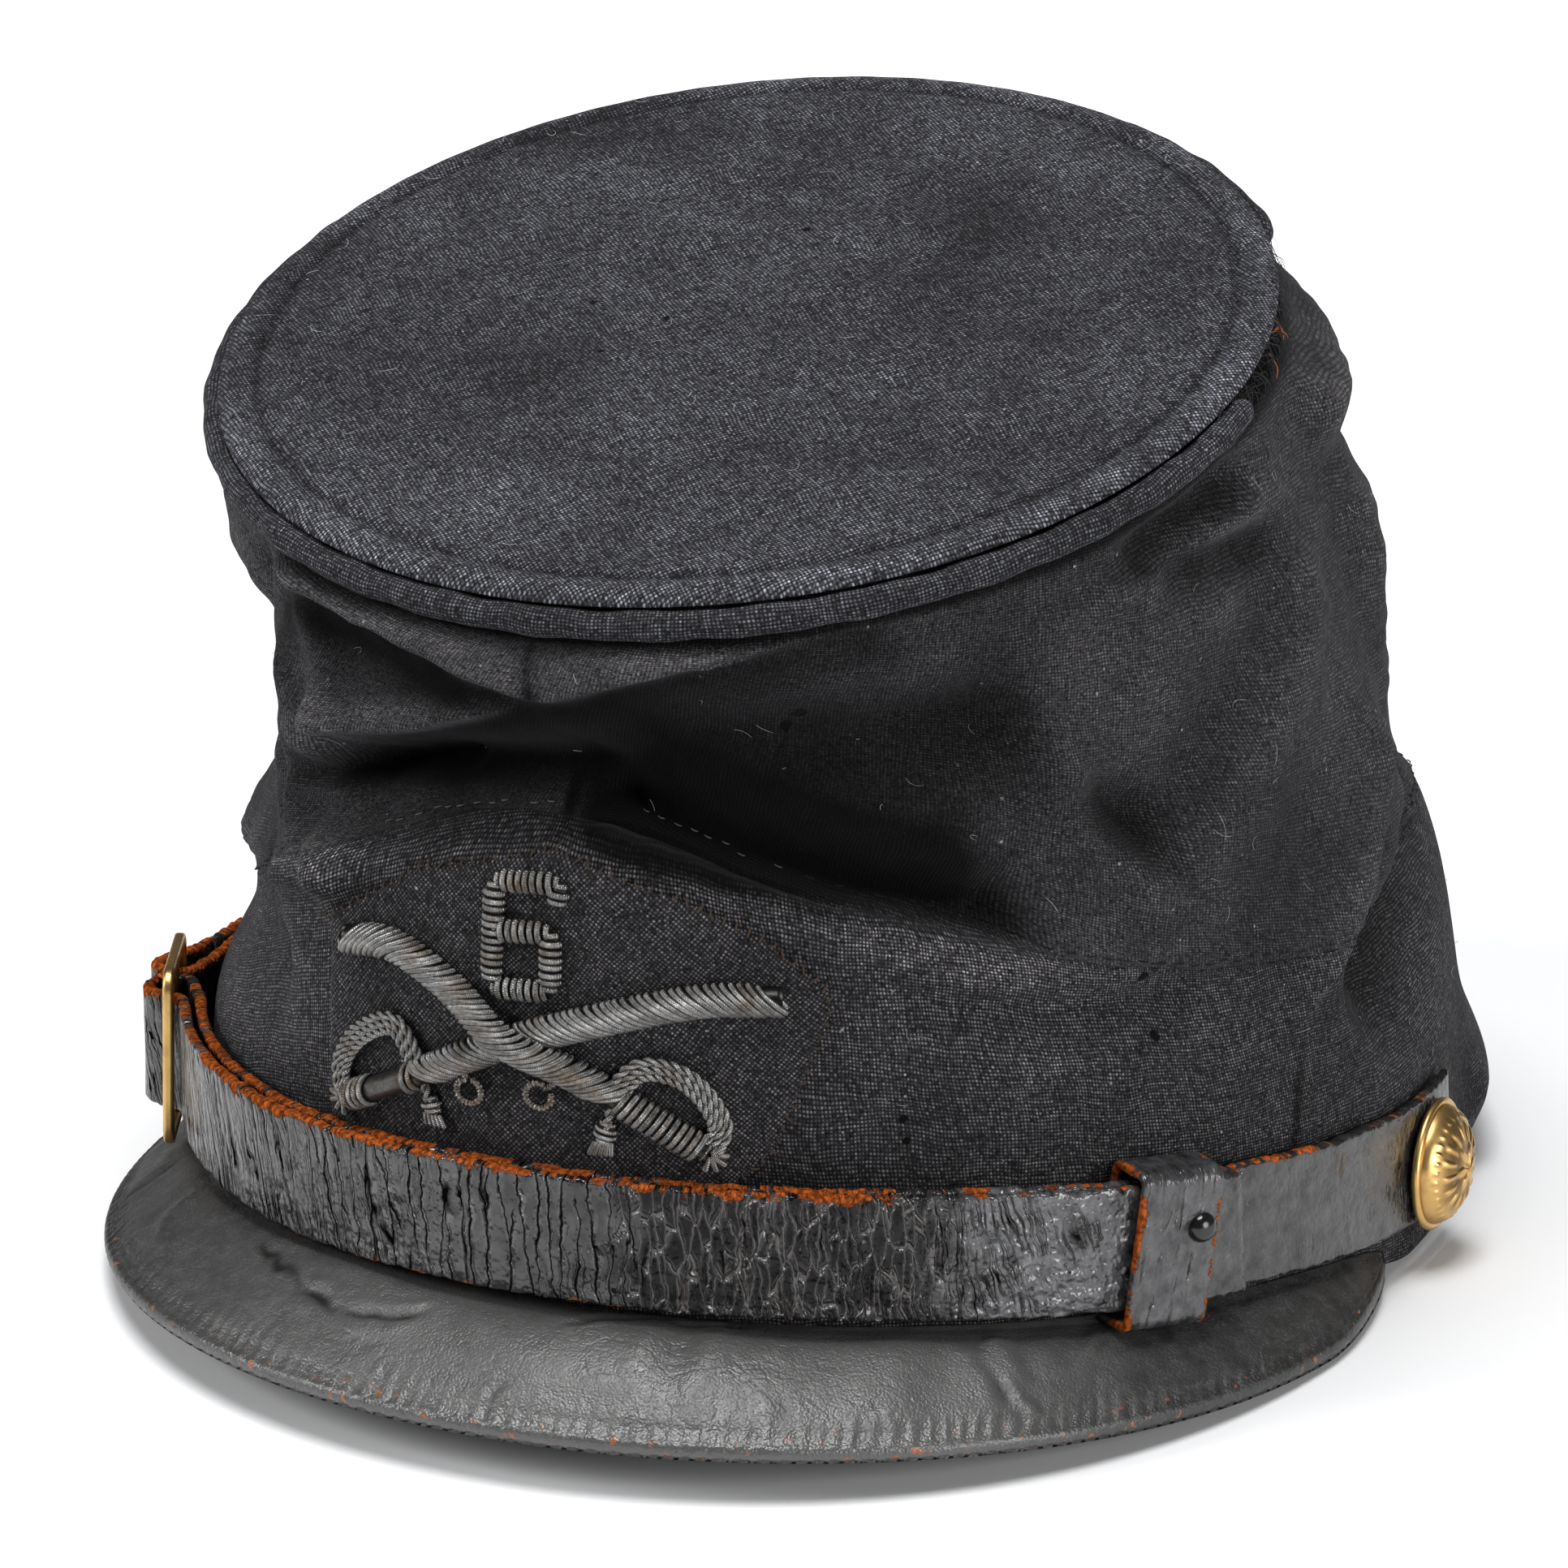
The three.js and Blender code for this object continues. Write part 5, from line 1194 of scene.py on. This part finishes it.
# a sabre: wrapped blade and grip, a guard of three cords, a fan at the pommel, a wire
# ring and a tassel; the blade rises over the crossing by a bell of the distance from it
def sabreParts(sabre, seed):
    crossing = np.array([-1.4, 50.8])
    base = cloth + 1.2 * gap
    lifted = lambda flat: base + sabre["lift"] * np.exp(-(np.linalg.norm(flat - crossing, axis=1) / 6) ** 2)
    level = lambda flat: base + 0 * flat[:, 0]
    parts = wrapStrands(sabre["blade"], bullion["bladeWidth"], bullion["padding"], lifted, 1.0,
                        sabre["slant"], seed)
    parts += wrapStrands(sabre["grip"], bullion["gripWidth"], bullion["padding"], level, 1.0, 0.15,
                         seed + 1,
                         rough=(0.0, 1.0), bare=sabre["bare"])
    for offset in (-1.0, 0.0, 1.0):
        parts += twistPair(sabre["guard"], level, offset, seed=seed + 2)
    end, before = np.array(sabre["grip"][-1]), np.array(sabre["grip"][0])
    way = (end - before) / np.linalg.norm(end - before)
    for turn in np.radians([-75, -40, -5, 30, 65]):
        fan = np.array([way[0] * math.cos(turn) - way[1] * math.sin(turn),
                        way[0] * math.sin(turn) + way[1] * math.cos(turn)])
        run = onPatch([tuple(end + 0.2 * fan), tuple(end + 2.3 * fan)], 12, level)
        parts += tubes((run[0] + run[2] * 0.8)[None], 0.46, run[2][None], rough=0.0)
    stem, ring = np.array(sabre["ring"][0]), np.array(sabre["ring"][1])
    turn = np.linspace(0, 1.85 * math.pi, 16) + math.atan2(*(stem - ring)[::-1])
    loop = ring + 1.65 * np.stack([np.cos(turn), np.sin(turn)], -1)
    parts += purlWire([tuple(p) for p in np.concatenate([[stem], loop])],
                      lambda flat: base + 0.6 + 0 * flat[:, 0])
    return parts + tasselParts(*sabre["knot"], level, seed + 4)


bullionLook = dict(bright=(0.215, 0.212, 0.208), brown=(0.125, 0.094, 0.068), dark=(0.006, 0.0055, 0.005),
                   rib=0.24)


# tarnished silver wire: grey on the strands, painted shade dark under and between
# them, browned in patches, finely ribbed along each strand
def makeBullion():
    f = Finish("tarnishedBullion")
    place, along = f.places(), f.add("SeparateXYZ", {0: f.uv()})
    cloud, fine = f.noise(place, 260, 3, 0.6), f.noise(place, 1500, 3, 0.6)
    rough = f.value("rough")
    colour = f.mix(f.calc("MINIMUM", f.calc("MULTIPLY_ADD", rough, 0.45, f.ramp(cloud, 0.48, 0.72)), 1.0),
                   bullionLook["bright"], bullionLook["brown"])
    tone = f.calc("MULTIPLY", f.value("tone"), f.ramp(fine, 0.3, 0.7, 0.65, 1.35))
    colour = f.mix(1.0, colour, f.add("CombineXYZ", {0: tone, 1: tone, 2: tone}), "MULTIPLY")
    colour = f.mix(f.value("groove"), colour, bullionLook["dark"])
    rib = f.calc("SINE", f.calc("MULTIPLY", along, 2 * math.pi / bullionLook["rib"]))
    tiny = f.calc("MULTIPLY", f.noise(place, 2200, 2), f.calc("MULTIPLY_ADD", rough, 2.5, 0.6))
    height = f.calc("ADD", f.calc("MULTIPLY", rib, 0.5), tiny)
    bump = f.add("Bump", {"Strength": 0.7, "Distance": 0.08 * mm, "Height": height})
    return f.finish(Base_Color=colour, Metallic=0.85, Roughness=f.ramp(cloud, 0.35, 0.7, 0.26, 0.45),
                    Normal=bump)


bullionWire = makeBullion()
makePiece("sabre_over_bullion", sabreParts(sabreOver, 11), bullionWire, ["sabre_over"])
makePiece("sabre_under_bullion", sabreParts(sabreUnder, 31), bullionWire, ["sabre_under"])
flatStand = lambda flat: cloth + gap + 0 * flat[:, 0]
parts = sum((wrapStrands(bar, bullion["numeralWidth"], 1.0, flatStand, 1.0, 0.0, 50 + k) for k,
             bar in enumerate(numeralBars)), [])
makePiece("numeral_bullion", parts, bullionWire, ["numeral"])
print("embroidery done")

threadLook = dict(brown=(0.050, 0.032, 0.022), pale=(0.105, 0.092, 0.076), black=(0.008, 0.008, 0.009),
                  orange=(0.34, 0.11, 0.03),
                  lint=(0.42, 0.42, 0.43))


# sewing thread or fluff: one colour, with painted shade on the underside of the strand from the groove value
def makeThread(name, colour):
    f = Finish(name)
    shade = f.mix(f.calc("MULTIPLY", f.value("groove"), 0.6), colour, (0.004, 0.004, 0.004))
    return f.finish(Base_Color=shade, Roughness=0.8, Specular_IOR_Level=0.2)


# whip stitches over the patch's edge: short arches across it, leaning to and fro
def patchStitches(pitch=1.6, length=1.5):
    low, high = patchEdges[:, [0, 1]], patchEdges[:, [0, 2]]
    outline = evenly(np.concatenate([high, low[::-1][:4]]), 700)
    count = int(np.linalg.norm(np.diff(outline, axis=0), axis=1).sum() / pitch)
    line = evenly(outline, count)
    along = unit(np.gradient(line, axis=0))
    chance = np.random.default_rng(5)
    lean = 0.4 * np.where(np.arange(count) % 2, 1, -1) + chance.normal(0, 0.4, count)
    across = unit(np.stack([-along[:, 1], along[:, 0]], -1) + lean[:, None] * along)
    t = np.linspace(-0.5, 0.5, 5)
    reach = chance.uniform(0.7, 1.1, count)[:, None, None]
    flat = line[:, None] + across[:, None] * (t * length)[:, None] * reach
    angle = (flat[..., 0] + patch["shift"]) / perDegree
    stand = 0.25 + (cloth + 0.1 - 0.25) * (0.5 + 0.5 * np.cos(t * math.pi))
    points = onBand(angle, flat[..., 1] + patch["lift"], stand + 0 * angle)
    return tubes(points, 0.15, outward(angle), sides=5)


makePiece("patch_stitches", patchStitches(), makeThread("brownThread", threadLook["brown"]))


# stitches of the seam between band and crown: short arches along it, just above the join
def seamStitches(first, last, kept, pitch=2.5, length=1.5, up=0.9, seed=8):
    chance = np.random.default_rng(seed)
    middle = np.arange(first, last, pitch / perDegree)
    middle = middle[chance.uniform(0, 1, len(middle)) < kept]
    middle = middle + chance.normal(0, 0.15, len(middle))
    t = np.linspace(-0.5, 0.5, 5)
    angle = middle[:, None] + t * length / perDegree
    height = stationValue("seam", angle) + up + chance.normal(0, 0.15, len(middle))[:, None]
    top = tipPoint(tip["radius"], angle, tip["edgeDrop"] + welt["cord"] + 2 * gap)[..., 2]
    low = stationValue("seam", angle)
    points = crownPoint(angle, (height - low) / (top - low))
    points = points + outward(angle) * (0.05 + 0.22 * np.cos(t * math.pi))[..., None]
    return tubes(points, 0.11, outward(angle), sides=5)


makePiece("seam_stitches_front", seamStitches(-27, 26, 0.55, length=1.1),
          makeThread("paleThread", threadLook["pale"]))
makePiece("seam_stitches_side", seamStitches(27, 330, 0.95), makeThread("blackThread", threadLook["black"]))


# lint: short curved hairs lying on the cloth, each an arc with its own length, turn and bend
def lintHairs(count=260, seed=21):
    chance = np.random.default_rng(seed)
    t = np.linspace(-0.5, 0.5, 7)
    length = chance.uniform(0.6, 3.2, count)
    bend = chance.normal(0, 0.9, count)
    turn = chance.uniform(0, 2 * math.pi, count)
    way = turn[:, None] + bend[:, None] * t
    dx, dy = length[:, None] * t * np.cos(way), length[:, None] * t * np.sin(way)
    lift = 0.10 + chance.uniform(0, 0.5, count)[:, None] * (2 * t) ** 2
    top = np.arange(count) < 0.5 * count
    rr = (tip["radius"] - 3) * np.sqrt(chance.uniform(0, 1, count))
    aa = chance.uniform(0, 2 * math.pi, count)
    x, y = (rr * np.cos(aa))[:, None] + dx, (rr * np.sin(aa))[:, None] + dy
    level = tip["dome"] * (1 - (np.hypot(x, y) / tip["radius"]) ** 2) + 0.25 + lift
    onTip = tipPoint(np.hypot(x, y), np.degrees(np.arctan2(x, -y)), -level)
    angle = chance.uniform(-60, 240, count)[:, None] + dx / perDegree
    share = chance.uniform(0.05, 0.9, count)[:, None] + dy / 55
    onCrown = crownPoint(angle, share) + outward(angle) * lift[..., None]
    onBandFace = bandPoint(angle, 0.45 + 0.5 * share) + outward(angle) * lift[..., None]
    wallSide = np.where((np.arange(count) % 3 > 0)[:, None, None], onCrown, onBandFace)
    lines = np.where(top[:, None, None], onTip, wallSide)
    up = np.where(top[:, None, None], tipPoint(0.0, angle, -1) - tipPoint(0.0, angle, 0), outward(angle))
    return tubes(lines, chance.uniform(0.018, 0.04, count)[:, None], up, sides=3)


# frayed cloth where the welt is torn: loose ends that leave the tip's edge outward and curl down
def frayedEnds(first, last, count, longest, seed, radius=0.05):
    chance = np.random.default_rng(seed)
    t = np.linspace(0, 1, 9)
    angle = chance.uniform(first, last, count)[:, None] + t * chance.normal(0, 2.0, count)[:, None]
    length, curl = chance.uniform(0.3, 1, count)[:, None] * longest, chance.normal(0, 1.6, count)[:, None]
    reach = tip["radius"] - 0.6 + length * 0.45 * np.sin(t * (1.5 + curl * 0.4))
    drop = 0.6 * t**2 + 0.12 * np.sin(t * 5 * curl)
    below = 0.4 + chance.uniform(0, 3.5, count)[:, None] + length * drop
    lines = tipPoint(reach, angle, below)
    up = tipPoint(0.0, angle, -1) - tipPoint(0.0, angle, 0)
    return tubes(lines, chance.uniform(0.6, 1.2, count)[:, None] * radius, up, sides=4)


makePiece("frayed_wool", frayedEnds(welt["tornFrom"] - 6, welt["tornTo"] + 4, 150, 5, 14),
          makeThread("frayedWool", (0.035, 0.034, 0.038)))
makePiece("frayed_orange", frayedEnds(101, 107, 5, 4, 15, 0.11),
          makeThread("orangeThread", threadLook["orange"]))
makePiece("lint_hairs", lintHairs(), makeThread("lint", threadLook["lint"]))
print("stitches and lint done")

# stage

stage = dict(lens=162.86, distance=950.4, azimuth=25.246, elevation=18.482, target=(0.44, -11.59, 61.71))


# the camera looks back along its azimuth and elevation to the target
def makeCamera():
    a, e = math.radians(stage["azimuth"]), math.radians(stage["elevation"])
    back = Vector((math.sin(a) * math.cos(e), -math.cos(a) * math.cos(e), math.sin(e)))
    camera = bpy.data.objects.new("camera", bpy.data.cameras.new("camera"))
    bpy.context.scene.collection.objects.link(camera)
    camera.data.lens = stage["lens"]
    camera.data.sensor_width = 36
    camera.data.clip_start, camera.data.clip_end = 0.01, 50
    camera.location = Vector(stage["target"]) * mm + back * stage["distance"] * mm
    camera.rotation_mode = "QUATERNION"
    camera.rotation_quaternion = (-back).to_track_quat("-Z", "Y")
    bpy.context.scene.camera = camera


# a round lamp aimed at a point
def makeLight(name, place, aim, size, power, spread=180):
    lamp = bpy.data.lights.new(name, "AREA")
    lamp.shape, lamp.size, lamp.energy, lamp.spread = "DISK", size, power, math.radians(spread)
    light = bpy.data.objects.new(name, lamp)
    bpy.context.scene.collection.objects.link(light)
    light.location = place
    light.rotation_mode = "QUATERNION"
    light.rotation_quaternion = (Vector(aim) - Vector(place)).to_track_quat("-Z", "Y")


# pale paper under the cap
def makeFloor():
    f = Finish("floorPaper")
    paper = f.finish(Base_Color=(0.90, 0.905, 0.915, 1), Roughness=0.7, Specular_IOR_Level=0.2)
    mesh = bpy.data.meshes.new("floor")
    mesh.from_pydata([(-6, -6, -0.0004), (6, -6, -0.0004), (6, 6, -0.0004), (-6, 6, -0.0004)], [],
                     [(0, 1, 2, 3)])
    mesh.materials.append(paper)
    floor = bpy.data.objects.new("floor", mesh)
    bpy.context.scene.collection.objects.link(floor)


makeCamera()
makeFloor()
world = bpy.data.worlds.new("studio")
bpy.context.scene.world = world
world.use_nodes = True
world.node_tree.nodes["Background"].inputs[0].default_value = (1, 1, 1, 1)
world.node_tree.nodes["Background"].inputs[1].default_value = 0.09
makeLight("key", (0, -0.2, 1.5), (0, 0, 0.06), 0.9, 22.5)
makeLight("right", (1.45, -0.5, 0.45), (0, 0, 0.06), 0.9, 15)
makeLight("left", (-1.3, -0.9, 0.8), (0, 0, 0.06), 0.8, 18)
makeLight("backdrop", (0, 1.2, 1.2), (0, 1.2, 0), 1.0, 8, 60)
bpy.context.scene.view_settings.view_transform = "Standard"
print("stage set")
